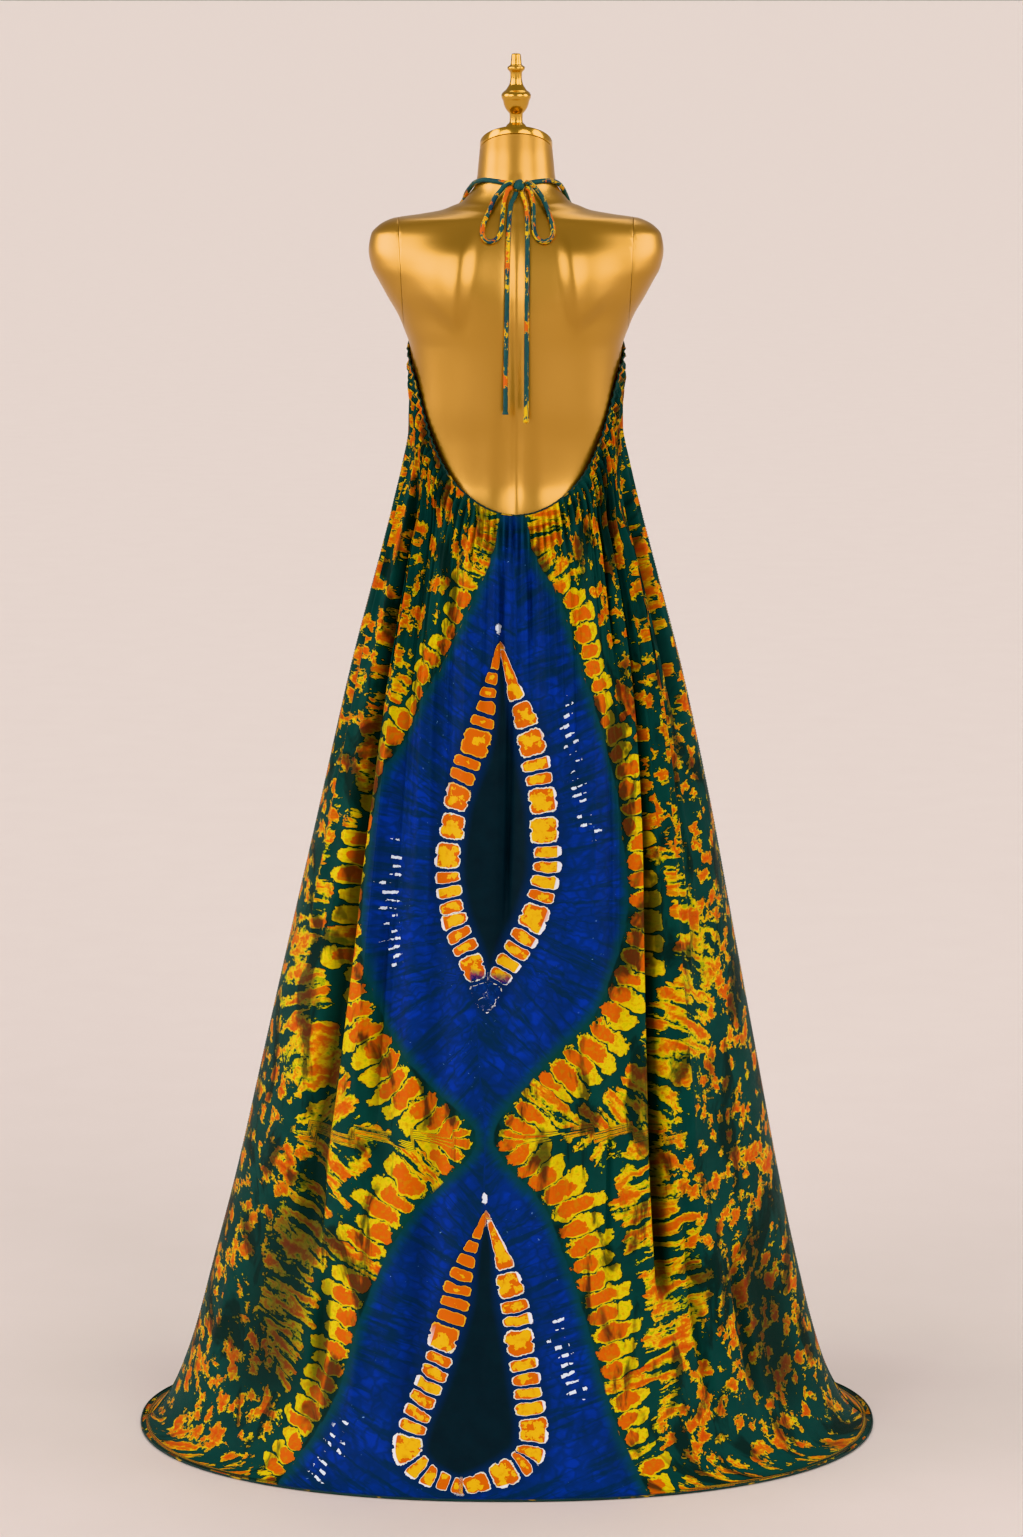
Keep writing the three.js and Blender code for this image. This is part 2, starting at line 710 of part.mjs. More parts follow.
// Blocks that cut are larger than all that they cut
const BLOCK = 500;

// A block whose lower face lies in the neck's tilted plane, raised by an amount
function aboveNeckPlane(raised) {
  const block = new THREE.BoxGeometry(BLOCK, BLOCK, BLOCK).translate(0, 0, BLOCK / 2 + raised);
  return block.rotateX(-THREE.MathUtils.degToRad(NECK_TILT)).translate(0, 0, NECK_CUT_HEIGHT);
}

// A block beyond one shoulder's leaning seam
function beyondSeam(side, gap) {
  const block = new THREE.BoxGeometry(BLOCK, BLOCK, BLOCK).translate(side * (BLOCK / 2 + gap), 0, 0);
  const lean = side * THREE.MathUtils.degToRad(CAP_SEAM_LEAN);
  return block.rotateY(lean).translate(side * CAP_SEAM_X, 0, CAP_SEAM_HEIGHT);
}

const uncutTorso = torsoSolid();
const headlessTorso = uncutTorso.subtract(solid(aboveNeckPlane(0)));
const torsoBody = headlessTorso
  .subtract(solid(beyondSeam(-1, 0)))
  .subtract(solid(beyondSeam(1, 0)));
const hipsBelow = new THREE.BoxGeometry(BLOCK, BLOCK, BLOCK).translate(0, 0, SHOULDERS_FROM - BLOCK / 2);
const hips = headlessTorso.intersect(solid(hipsBelow));
const shoulders = headlessTorso.subtract(solid(hipsBelow));

function neckCapSolid() {
  const disc = new THREE.CylinderGeometry(NECK_CAP_RIM, NECK_CAP_RIM, NECK_CAP_THICKNESS, NECK_CAP_SIDES);
  disc.rotateX(Math.PI / 2).translate(0, 0, NECK_CAP_THICKNESS / 2 + SEAM_GAP);
  return disc.rotateX(-THREE.MathUtils.degToRad(NECK_TILT)).translate(0, 0, NECK_CUT_HEIGHT);
}

function finialSolid() {
  const profile = FINIAL.map(({ radius, height }) => new THREE.Vector2(radius, height));
  profile.unshift(new THREE.Vector2(0, FINIAL[0].height));
  profile.push(new THREE.Vector2(0, FINIAL_TOP));
  const turned = new THREE.LatheGeometry(profile, FINIAL_SIDES).rotateX(Math.PI / 2);
  return solid(turned).intersect(solid(aboveNeckPlane(NECK_CAP_THICKNESS + 2 * SEAM_GAP)));
}

const object = new THREE.Group();

function addPiece(name, geometry, finish) {
  const mesh = new THREE.Mesh(geometry, new THREE.MeshStandardMaterial(finish));
  mesh.name = name;
  object.add(mesh);
}

const backPoints = (rows) => rows.map((row) => onBack(row));

addPiece('back_panel', panelGeometry(BACK_PANEL), DYED_CLOTH);
addPiece('front_panel', panelGeometry(FRONT_PANEL), DYED_CLOTH);
addPiece('neck_casing', casingGeometry(), DYED_CLOTH);
addPiece('neck_cord', cordGeometry(neckCordPoints(), NECK_CORD_STEPS), DYED_CORD);
addPiece('bow_knot', knotGeometry(), DYED_CORD);
addPiece('bow_loop_left', cordGeometry(backPoints(LOOP_LEFT), LOOP_STEPS), DYED_CORD);
addPiece('bow_loop_right', cordGeometry(backPoints(LOOP_RIGHT), LOOP_STEPS), DYED_CORD);
addPiece('tie_tail_left', cordGeometry(backPoints(TAIL_LEFT), TAIL_STEPS), DYED_CORD);
addPiece('tie_tail_right', cordGeometry(backPoints(TAIL_RIGHT), TAIL_STEPS), DYED_CORD);
addPiece('form_torso', geometryFrom(hips.add(shoulders.intersect(torsoBody))), GOLD);
addPiece('shoulder_cap_left', geometryFrom(shoulders.intersect(solid(beyondSeam(-1, SEAM_GAP)))), GOLD);
addPiece('shoulder_cap_right', geometryFrom(shoulders.intersect(solid(beyondSeam(1, SEAM_GAP)))), GOLD);
addPiece('neck_cap', neckCapSolid(), BRASS);
addPiece('finial', geometryFrom(finialSolid()), BRASS);

const poleHeight = TORSO_BOTTOM - BASE_THICKNESS - 2 * SEAM_GAP;
const pole = new THREE.CylinderGeometry(POLE_RADIUS, POLE_RADIUS, poleHeight, POLE_SIDES);
const base = new THREE.CylinderGeometry(BASE_RADIUS - BASE_BEVEL, BASE_RADIUS, BASE_THICKNESS, BASE_SIDES);
pole.rotateX(Math.PI / 2);
base.rotateX(Math.PI / 2);
addPiece('stand_pole', pole.translate(0, 0, BASE_THICKNESS + SEAM_GAP + poleHeight / 2), GOLD);
addPiece('stand_base', base.translate(0, 0, BASE_THICKNESS / 2), GOLD);

export default object;
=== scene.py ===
import math

import bmesh
import bpy
import numpy as np
from mathutils import Matrix, Vector


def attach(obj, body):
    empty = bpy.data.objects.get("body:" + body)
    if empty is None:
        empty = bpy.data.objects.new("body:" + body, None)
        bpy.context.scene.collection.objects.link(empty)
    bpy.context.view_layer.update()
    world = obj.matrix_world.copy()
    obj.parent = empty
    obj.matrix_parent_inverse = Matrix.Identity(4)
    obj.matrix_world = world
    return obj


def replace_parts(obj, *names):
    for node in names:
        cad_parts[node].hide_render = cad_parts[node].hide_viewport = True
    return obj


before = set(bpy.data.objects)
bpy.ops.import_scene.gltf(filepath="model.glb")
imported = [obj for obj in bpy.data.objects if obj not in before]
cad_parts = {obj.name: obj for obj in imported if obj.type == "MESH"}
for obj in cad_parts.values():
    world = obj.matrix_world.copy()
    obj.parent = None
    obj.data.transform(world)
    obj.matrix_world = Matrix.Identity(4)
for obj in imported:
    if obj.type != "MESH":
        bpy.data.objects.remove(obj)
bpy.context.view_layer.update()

# Camera, light and floor.
# The photograph looks at the open back from a little above, through a long lens.
# Broad soft lights shine past it on both sides, from beside the dress and from above, on a plain pale floor.
AIM = Vector((-0.006, 0, 0.886))
AWAY = 6.072
RAISED = math.radians(9.5)
camera = bpy.data.objects.new("view_camera", bpy.data.cameras.new("view_camera"))
camera.data.lens = 107.74
camera.data.sensor_width = 36
camera.data.clip_end = 9000
camera.location = AIM + AWAY * Vector((0, -math.cos(RAISED), math.sin(RAISED)))
camera.rotation_euler = (math.pi / 2 - RAISED, 0, 0)
bpy.context.collection.objects.link(camera)
bpy.context.scene.camera = camera


def soft_light(name, towards, strength, spread, colour):
    """A wide soft light from one side: it falls on the floor and the dress alike."""
    light = bpy.data.lights.new(name, "SUN")
    light.energy = strength
    light.angle = math.radians(spread)
    light.color = colour
    lamp = bpy.data.objects.new(name, light)
    lamp.location = 4 * Vector(towards)
    lamp.rotation_euler = Vector(towards).to_track_quat("Z", "Y").to_euler()
    bpy.context.collection.objects.link(lamp)


soft_light("left_softbox", (-0.66, -0.74, 0.34), 1.15, 38, (1, 0.97, 0.92))
soft_light("left_side_softbox", (-0.97, -0.1, 0.3), 1.5, 36, (1, 0.97, 0.92))
soft_light("right_softbox", (0.5, -0.82, 0.36), 1.15, 38, (1, 0.97, 0.92))
soft_light("right_side_softbox", (0.97, -0.12, 0.28), 1.2, 36, (1, 0.97, 0.92))
soft_light("overhead_softbox", (0.1, 0.5, 1), 0.75, 50, (1, 0.98, 0.95))

bpy.context.scene.view_settings.view_transform = "Khronos PBR Neutral"
room = bpy.data.worlds.new("pale_room")
room.use_nodes = True
light_of_room = room.node_tree.nodes["Background"]
light_of_room.inputs["Strength"].default_value = 1
# the room's walls are pale low down and dim towards the ceiling
direction = room.node_tree.nodes.new("ShaderNodeTexCoord")
height_of_it = room.node_tree.nodes.new("ShaderNodeSeparateXYZ")
shade = room.node_tree.nodes.new("ShaderNodeValToRGB")
shade.color_ramp.elements[0].color = (0.52, 0.47, 0.43, 1)
shade.color_ramp.elements[1].color = (0.36, 0.33, 0.3, 1)
shade.color_ramp.elements[1].position = 0.75
room.node_tree.links.new(direction.outputs["Generated"], height_of_it.inputs[0])
room.node_tree.links.new(height_of_it.outputs["Z"], shade.inputs[0])
room.node_tree.links.new(shade.outputs[0], light_of_room.inputs["Color"])
bpy.context.scene.world = room


# Shader maths is written as expressions on sockets
class Socket:
    def __init__(self, finish, socket):
        self.finish = finish
        self.socket = socket

    def maths(self, operation, *others):
        values = {0: self, **dict(enumerate(others, 1))}
        return self.finish.node("ShaderNodeMath", {"operation": operation}, values)

    def __add__(self, other):
        return self.maths("ADD", other)

    def __sub__(self, other):
        return self.maths("SUBTRACT", other)

    def __rsub__(self, other):
        return self.finish.node("ShaderNodeMath", {"operation": "SUBTRACT"}, {0: other, 1: self})

    def __mul__(self, other):
        return self.maths("MULTIPLY", other)

    def __truediv__(self, other):
        return self.maths("DIVIDE", other)

    def __abs__(self):
        return self.maths("ABSOLUTE")

    __radd__ = __add__
    __rmul__ = __mul__


class Finish:
    """A material, whose nodes are made by node() and by expressions on what it gives."""

    def __init__(self, name):
        self.material = bpy.data.materials.new(name)
        self.material.use_nodes = True
        self.tree = self.material.node_tree
        self.tree.nodes.clear()

    def node(self, kind, settings=None, values=None, out=0):
        made = self.tree.nodes.new(kind)
        for name, setting in (settings or {}).items():
            if name == "stops":
                while len(made.color_ramp.elements) < len(setting):
                    made.color_ramp.elements.new(0.5)
                for element, (place, colour) in zip(made.color_ramp.elements, setting):
                    element.position = place
                    element.color = (*colour, 1)
            else:
                setattr(made, name, setting)
        for name, value in (values or {}).items():
            if isinstance(name, int):
                socket = made.inputs[name]
            else:
                socket = next(s for s in made.inputs if name in (s.identifier, s.name))
            if isinstance(value, Socket):
                self.tree.links.new(value.socket, socket)
            else:
                socket.default_value = (*value, 1) if socket.type == "RGBA" and len(value) == 3 else value
        if isinstance(out, int):
            return Socket(self, made.outputs[out])
        return Socket(self, next(s for s in made.outputs if out in (s.identifier, s.name)))

    def mix(self, share, first, second):
        values = {"Factor_Float": share, "A_Color": first, "B_Color": second}
        return self.node("ShaderNodeMix", {"data_type": "RGBA"}, values, "Result_Color")

    def step(self, value, low, high):
        values = {"Value": value, "From Min": low, "From Max": high}
        return self.node("ShaderNodeMapRange", {"interpolation_type": "SMOOTHSTEP"}, values)

    def noise(self, place, scale, detail=2, rough=0.5, bend=0, out=0):
        values = {"Vector": place, "Scale": scale, "Detail": detail, "Roughness": rough, "Distortion": bend}
        return self.node("ShaderNodeTexNoise", None, values, out)

    def object_place(self):
        return self.node("ShaderNodeTexCoord", out="Object")

    def finished(self, **sockets):
        values = {name.replace("_", " "): value for name, value in sockets.items()}
        surface = self.node("ShaderNodeBsdfPrincipled", None, values)
        output = self.tree.nodes.new("ShaderNodeOutputMaterial")
        self.tree.links.new(surface.socket, output.inputs["Surface"])
        return self.material


def floor_finish():
    pale = Finish("pale_floor")
    speckle = pale.noise(pale.object_place(), 9, 4)
    colour = pale.mix(speckle, (0.755, 0.672, 0.655), (0.785, 0.702, 0.687))
    return pale.finished(Base_Color=colour, Roughness=0.75)


near_floor, far_floor = 8, 4000
floor_corners = ((-1, -1), (1, -1), (1, 1), (-1, 1))
floor_mesh = bpy.data.meshes.new("floor")
floor_mesh.from_pydata(
    [(x * r, y * r, -0.0006) for r in (near_floor, far_floor) for x, y in floor_corners], [],
    [(0, 1, 2, 3), (4, 5, 1, 0), (5, 6, 2, 1), (6, 7, 3, 2), (7, 4, 0, 3)],
)
floor_mesh.materials.append(floor_finish())
floor = bpy.data.objects.new("floor", floor_mesh)
bpy.context.collection.objects.link(floor)


# Stand.
# A round steel base and a pole carry the torso inside the skirt, satin gold like the form.
# Both are turned, and the pole is screwed into the base's boss and into the torso's bottom.
def mesh_of(name, points, faces, finish, uv=None):
    """One smooth mesh object at the origin, with its place in its points."""
    mesh = bpy.data.meshes.new(name)
    mesh.from_pydata([tuple(p) for p in points], [], faces)
    mesh.materials.append(finish)
    mesh.polygons.foreach_set("use_smooth", [True] * len(mesh.polygons))
    if uv is not None:
        corners = np.empty(len(mesh.loops), int)
        mesh.loops.foreach_get("vertex_index", corners)
        layer = mesh.uv_layers.new(name="Cut")
        layer.data.foreach_set("uv", np.asarray(uv, np.float32)[corners].ravel())
    thing = bpy.data.objects.new(name, mesh)
    bpy.context.collection.objects.link(thing)
    return thing


def ring_faces(rings, sides):
    """Faces between closed rings of points, one ring after another."""
    faces = []
    for r in range(rings - 1):
        for i in range(sides):
            j = (i + 1) % sides
            faces.append((r * sides + i, r * sides + j, (r + 1) * sides + j, (r + 1) * sides + i))
    return faces


def turned(name, profile, finish, sides=96, place=None, sharp=35):
    """A body turned about the upright axis, from a profile of radius and height that ends on the axis."""
    turn = np.linspace(0, 2 * math.pi, sides, endpoint=False)
    rings = [np.stack([r * np.cos(turn), r * np.sin(turn), np.full(sides, z)], 1) for r, z in profile[1:-1]]
    points = np.vstack([*rings, [[0, 0, profile[0][1]]], [[0, 0, profile[-1][1]]]])
    faces = ring_faces(len(rings), sides)
    last = (len(rings) - 1) * sides
    for i in range(sides):
        j = (i + 1) % sides
        faces.append((len(points) - 2, j, i))
        faces.append((len(points) - 1, last + i, last + j))
    thing = mesh_of(name, points, faces, finish)
    thing.data.set_sharp_from_angle(angle=math.radians(sharp))
    if place is not None:
        thing.data.transform(place)
    return thing


def satin_gold():
    gold = Finish("satin_gold")
    place = gold.object_place()
    cloud = gold.noise(place, 5, 3)
    grain = gold.noise(place, 900, 2)
    brushed = gold.noise(gold.node("ShaderNodeMapping", {}, {"Vector": place, "Scale": (90, 90, 700)}), 1, 3)
    colour = gold.mix(cloud, (0.5, 0.272, 0.066), (0.568, 0.322, 0.089))
    rough = 0.33 + cloud * 0.03 + brushed * 0.02
    bump = gold.node("ShaderNodeBump", {}, {"Strength": 0.05, "Distance": 0.0004, "Height": grain})
    return gold.finished(
        Base_Color=colour, Metallic=1.0, Roughness=rough, Normal=bump, Coat_Weight=0.25, Coat_Roughness=0.2
    )


GOLD = satin_gold()
BASE_RADIUS, BASE_TOP = 0.16, 0.012
POLE_RADIUS, POLE_TOP = 0.016, 0.9294
stand_base = turned(
    "round_base",
    [(0, 0.0), (0.1585, 0.0), (0.1597, 0.0006), (BASE_RADIUS, 0.002), (0.1592, 0.0075), (0.1575, 0.0102),
     (0.1545, BASE_TOP - 0.0004), (0.15, BASE_TOP), (0.026, BASE_TOP), (0, BASE_TOP)],
    GOLD, 128,
)
stand_pole = turned(
    "pole",
    [(0, 0.0123), (0.0155, 0.0123), (POLE_RADIUS, 0.0128), (POLE_RADIUS, 0.03), (0.0152, 0.032),
     (0.0152, 0.52), (0.016, 0.522), (0.016, 0.556), (0.0148, 0.558), (0.0148, 0.902), (0.016, 0.904),
     (0.016, POLE_TOP - 0.0005), (0.0155, POLE_TOP), (0, POLE_TOP)],
    GOLD, 64,
)
for piece, node in ((stand_base, "stand_base"), (stand_pole, "stand_pole")):
    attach(piece, "root")
    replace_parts(piece, node)


# Dress form.
# A hollow moulded torso with no arms or head, lacquered in satin gold over its smooth back.
# Its shoulder caps are mouldings of their own, set on at a fine leaning seam.
def curve(places, values):
    """A smooth curve through a table's rows that never overshoots them."""
    places, values = np.asarray(places, float), np.asarray(values, float)
    steps = np.diff(values) / np.diff(places)
    product, total = steps[:-1] * steps[1:], steps[:-1] + steps[1:]
    slopes = np.concatenate([steps[:1], np.zeros(len(steps) - 1), steps[-1:]])
    rising = product > 0
    slopes[1:-1][rising] = 2 * product[rising] / total[rising]

    def at(place):
        x = np.clip(place, places[0], places[-1])
        i = np.clip(np.searchsorted(places, x) - 1, 0, len(steps) - 1)
        span = places[i + 1] - places[i]
        t = (x - places[i]) / span
        rise = values[i + 1] - values[i]
        start, end = slopes[i] * span, slopes[i + 1] * span
        return values[i] + t * (start + t * (3 * rise - 2 * start - end + t * (start + end - 2 * rise)))

    return at


def smooth(low, high, value):
    t = np.clip((value - low) / (high - low), 0, 1)
    return t * t * (3 - 2 * t)


class Surface:
    """A stack of rings as one surface: place along the stack, and degrees from the back's middle."""

    def __init__(self, rings, places, climb):
        self.columns = [curve(places, column) for column in zip(*rings)]
        self.climb = climb

    def ring(self, place):
        return [column(place) for column in self.columns]

    def point(self, degrees, place):
        height, half, back, front, shift, power = self.ring(place)
        s, c = np.sin(np.radians(degrees)), np.cos(np.radians(degrees))
        depth = np.where(c > 0, back, front)
        reach = (np.abs(s / half) ** power + np.abs(c / depth) ** power) ** (-1 / power)
        return np.stack([shift + reach * s, -reach * c, height + 0 * s], -1)

    def out(self, degrees, place):
        round_it = self.point(degrees + 0.5, place) - self.point(degrees - 0.5, place)
        along = self.point(degrees, place + 0.0005) - self.point(degrees, place - 0.0005)
        normal = np.cross(round_it, along) * self.climb
        return normal / np.linalg.norm(normal, axis=-1, keepdims=True)


# Height, half-width, depth of the back and of the front, shift, squareness
FORM_RINGS = [
    (0.93, 0.15, 0.098, 0.084, 0, 2.3), (1.05, 0.158, 0.108, 0.093, 0, 2.2),
    (1.115, 0.146, 0.102, 0.096, 0, 2.2), (1.182, 0.1345, 0.09, 0.096, 0, 2.2),
    (1.235, 0.133, 0.0828, 0.09, 0, 2.4), (1.27, 0.1316, 0.0778, 0.088, 0, 2.4),
    (1.32, 0.1308, 0.082, 0.092, 0, 2.25), (1.366, 0.1322, 0.089, 0.104, 0, 2.2),
    (1.4, 0.134, 0.093, 0.115, 0, 2.15), (1.444, 0.1382, 0.0975, 0.117, 0, 2.1),
    (1.464, 0.1449, 0.0995, 0.113, 0, 2.05), (1.484, 0.1532, 0.1005, 0.108, 0, 2),
    (1.505, 0.1655, 0.1, 0.102, 0, 2), (1.526, 0.177, 0.0975, 0.096, 0, 2),
    (1.546, 0.1873, 0.093, 0.089, 0, 2), (1.567, 0.1911, 0.0865, 0.08, 0, 2),
    (1.588, 0.1877, 0.078, 0.068, 0, 2), (1.598, 0.1793, 0.0735, 0.062, 0, 2),
    (1.608, 0.1605, 0.0685, 0.056, 0, 2), (1.6134, 0.1255, 0.066, 0.0535, 0, 2),
    (1.6186, 0.0964, 0.0635, 0.0515, 0, 2), (1.624, 0.0828, 0.061, 0.05, 0, 2),
    (1.629, 0.0705, 0.059, 0.049, 0, 2), (1.639, 0.0614, 0.055, 0.0485, 0, 2),
    (1.649, 0.054, 0.0528, 0.0482, 0, 2), (1.66, 0.0506, 0.0506, 0.0478, 0, 2),
    (1.676, 0.049, 0.0488, 0.0474, 0, 2), (1.7, 0.047, 0.047, 0.0468, 0, 2),
    (1.74, 0.0464, 0.0464, 0.0464, 0, 2),
]
NECK_CUT = 1.694
NECK_TILT = math.radians(26.5)
CAP_SEAM = 0.149
CAP_SEAM_LEAN = math.tan(math.radians(2.6))
CAP_SEAM_HEIGHT = 1.55
form = Surface(FORM_RINGS, [ring[0] for ring in FORM_RINGS], 1)


def bump(offset, breadth):
    return np.exp(-((offset / breadth) ** 2))


def form_relief(degrees, height):
    """Shoulder blades and the hollow between them."""
    angle = (degrees + 540) % 360 - 180
    blades = bump(np.abs(angle) - 38, 17) * bump(height - 1.535, 0.06)
    hollow = bump(angle, 8) * bump(height - 1.45, 0.15)
    return 0.006 * blades - 0.004 * hollow


def fine_relief(x, height):
    """What the back shows besides: the blades' edges, the muscles, the spine's groove and the hips."""
    side = np.abs(x)
    beyond = side - 0.058 - 0.14 * (1.575 - height)
    lowest = 1.466 + 0.8 * np.maximum(0, side - 0.079)
    blade = smooth(-0.01, 0.012, beyond) * (1 - smooth(0.022, 0.08, beyond))
    blade = blade * smooth(-0.008, 0.026, height - lowest) * (1 - smooth(1.56, 1.602, height))
    beside = bump(side - 0.027, 0.017) * bump(height - 1.3, 0.09)
    groove = bump(x, 0.0058) * smooth(1.2, 1.3, height) * (1 - smooth(1.5, 1.6, height))
    hips = bump(side - 0.066, 0.03) * bump(height - 1.226, 0.034)
    return 0.0062 * blade + 0.0026 * beside - 0.0024 * groove + 0.0046 * hips


def on_back(across, height, lift):
    """A point on the form's back, given how far across it is."""
    _, half, back, _, _, power = form.ring(height)
    depth = back * (1 - np.abs(across / half) ** power) ** (1 / power)
    degrees = np.degrees(np.arctan2(across, depth))
    relief = form_relief(degrees, height) + fine_relief(across, height)
    return np.stack([across, -depth - relief - lift, height], -1)


def on_form(degrees, height, lift):
    out = form.out(degrees, height)
    return form.point(degrees, height) + out * (form_relief(degrees, height) + lift)[..., None]


def form_body():
    columns = 224
    degrees = np.linspace(0, 360, columns, endpoint=False)[None, :]
    below = np.concatenate([np.linspace(0.93, 1.2, 46)[:-1], np.linspace(1.2, 1.6, 112)[:-1],
                            np.linspace(1.6, 1.665, 46)])[:, None]
    shell = on_form(degrees, below + 0 * degrees, 0 * degrees + 0 * below)
    out = form.out(degrees, below + 0 * degrees)
    facing = np.clip(-out[..., 1], 0, 1)
    shell = shell + out * (fine_relief(shell[..., 0], below) * facing)[..., None]
    shell[0, :, 2] = below[0]
    last = shell[-1]
    rim = form.point(degrees[0], np.full(columns, NECK_CUT))
    rim[:, 2] = NECK_CUT - rim[:, 1] * math.tan(NECK_TILT)
    neck = []
    for share in np.linspace(0, 1, 22)[1:]:
        height = last[:, 2] + (rim[:, 2] - last[:, 2]) * share
        neck.append(form.point(degrees[0], height))
    rows = np.concatenate([shell, np.array(neck)])
    points = rows.reshape(-1, 3)
    faces = ring_faces(len(rows), columns)
    faces.append(tuple(range(columns))[::-1])
    faces.append(tuple(len(points) - columns + i for i in range(columns)))
    return points, faces


def cut_form(points, faces, cuts, name):
    """The form's body less what lies beyond each cutting plane, with its cut edges eased."""
    body = bmesh.new()
    corners = [body.verts.new(p) for p in points]
    for face in faces:
        body.faces.new([corners[i] for i in face])
    for side, keep in cuts:
        middle = Vector((side * CAP_SEAM, 0, CAP_SEAM_HEIGHT))
        across = Vector((side, 0, -CAP_SEAM_LEAN)).normalized() * keep
        everything = list(body.verts) + list(body.edges) + list(body.faces)
        seam = middle - across * 0.00008
        cut = bmesh.ops.bisect_plane(body, geom=everything, plane_co=seam, plane_no=across, clear_outer=True)
        edges = [e for e in cut["geom_cut"] if isinstance(e, bmesh.types.BMEdge)]
        bmesh.ops.contextual_create(body, geom=edges)
        rim = [e for e in edges if e.is_valid]
        bmesh.ops.bevel(body, geom=rim, offset=0.0006, segments=2, profile=0.5, affect="EDGES")
    for face in body.faces:
        face.smooth = True
    mesh = bpy.data.meshes.new(name)
    body.to_mesh(mesh)
    body.free()
    mesh.materials.append(GOLD)
    mesh.set_sharp_from_angle(angle=math.radians(40))
    thing = bpy.data.objects.new(name, mesh)
    bpy.context.collection.objects.link(thing)
    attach(thing, "root")
    return thing


form_points, form_faces = form_body()
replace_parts(cut_form(form_points, form_faces, [(-1, 1), (1, 1)], "torso"), "form_torso")
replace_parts(cut_form(form_points, form_faces, [(-1, -1)], "left_shoulder_cap"), "shoulder_cap_left")
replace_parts(cut_form(form_points, form_faces, [(1, -1)], "right_shoulder_cap"), "shoulder_cap_right")


# Neck cap and finial.
# A turned brass disc closes the neck, tilted with it, and a turned brass finial stands on it.
# Both are polished and screwed down through the neck.
def polished_brass():
    brass = Finish("polished_brass")
    place = brass.object_place()
    rings = brass.noise(brass.node("ShaderNodeMapping", {}, {"Vector": place, "Scale": (20, 20, 1600)}), 1, 3)
    cloud = brass.noise(place, 30, 3)
    colour = brass.mix(cloud, (0.575, 0.32, 0.066), (0.69, 0.415, 0.112))
    ridge = brass.node("ShaderNodeBump", {}, {"Strength": 0.03, "Distance": 0.0002, "Height": rings})
    return brass.finished(Base_Color=colour, Metallic=1.0, Roughness=0.16 + cloud * 0.05, Normal=ridge)


BRASS = polished_brass()
CAP_RADIUS, CAP_THICKNESS = 0.0468, 0.012
# the disc is as long as the slanting cut, so it is a little oval
oval = Matrix.Scale(1 / math.cos(NECK_TILT), 4, (0, 1, 0))
cap_place = Matrix.Translation((0, 0, NECK_CUT)) @ Matrix.Rotation(-NECK_TILT, 4, "X") @ oval
neck_cap = turned(
    "neck_disc",
    [(0, 0.0003), (0.044, 0.0003), (0.0442, 0.0013), (0.0463, 0.0014), (0.0466, 0.0016), (CAP_RADIUS, 0.002),
     (CAP_RADIUS, 0.0108), (0.0467, 0.0114), (0.0462, 0.0118), (0.0454, CAP_THICKNESS), (0.02, CAP_THICKNESS),
     (0.0194, 0.0122), (0, 0.0123)],
    BRASS, 128, cap_place, 30,
)
FINIAL_ROWS = [
    (0.0166, 1.699), (0.0166, 1.7205), (0.0159, 1.7222), (0.014, 1.7247), (0.0114, 1.7283), (0.009, 1.7306),
    (0.0084, 1.733), (0.0083, 1.7375), (0.0085, 1.7418), (0.01, 1.7437), (0.013, 1.7475), (0.0157, 1.7533),
    (0.0172, 1.759), (0.0181, 1.7608), (0.0189, 1.7628), (0.0191, 1.765), (0.0184, 1.7675),
    (0.0166, 1.7698), (0.0136, 1.7722), (0.0113, 1.7754), (0.0087, 1.7802), (0.0074, 1.7878),
    (0.0075, 1.7938), (0.009, 1.7964), (0.0107, 1.7982), (0.0114, 1.8002), (0.0108, 1.802),
    (0.0086, 1.8034), (0.0072, 1.805), (0.0065, 1.811), (0.006, 1.8166), (0.0052, 1.8183), (0.003, 1.819),
]


def finial_body():
    radius, height = np.array(FINIAL_ROWS).T
    run = np.concatenate([[0], np.cumsum(np.hypot(np.diff(radius), np.diff(height)))])
    fine = np.linspace(0, run[-1], 190)
    outline = list(zip(curve(run, radius)(fine), curve(run, height)(fine)))
    made = turned("turned_finial", [(0, 1.699), *outline, (0, 1.8191)], BRASS, 72, None, 50)
    foot = np.empty(3 * len(made.data.vertices))
    made.data.vertices.foreach_get("co", foot)
    foot = foot.reshape(-1, 3)
    floor_of_it = NECK_CUT - foot[:, 1] * math.tan(NECK_TILT) + (CAP_THICKNESS + 0.0006) / math.cos(NECK_TILT)
    low = foot[:, 2] < floor_of_it
    foot[low, 2] = floor_of_it[low]
    made.data.vertices.foreach_set("co", foot.ravel())
    made.data.update()
    return made


finial = finial_body()
for piece, node in ((neck_cap, "neck_cap"), (finial, "finial")):
    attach(piece, "root")
    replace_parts(piece, node)


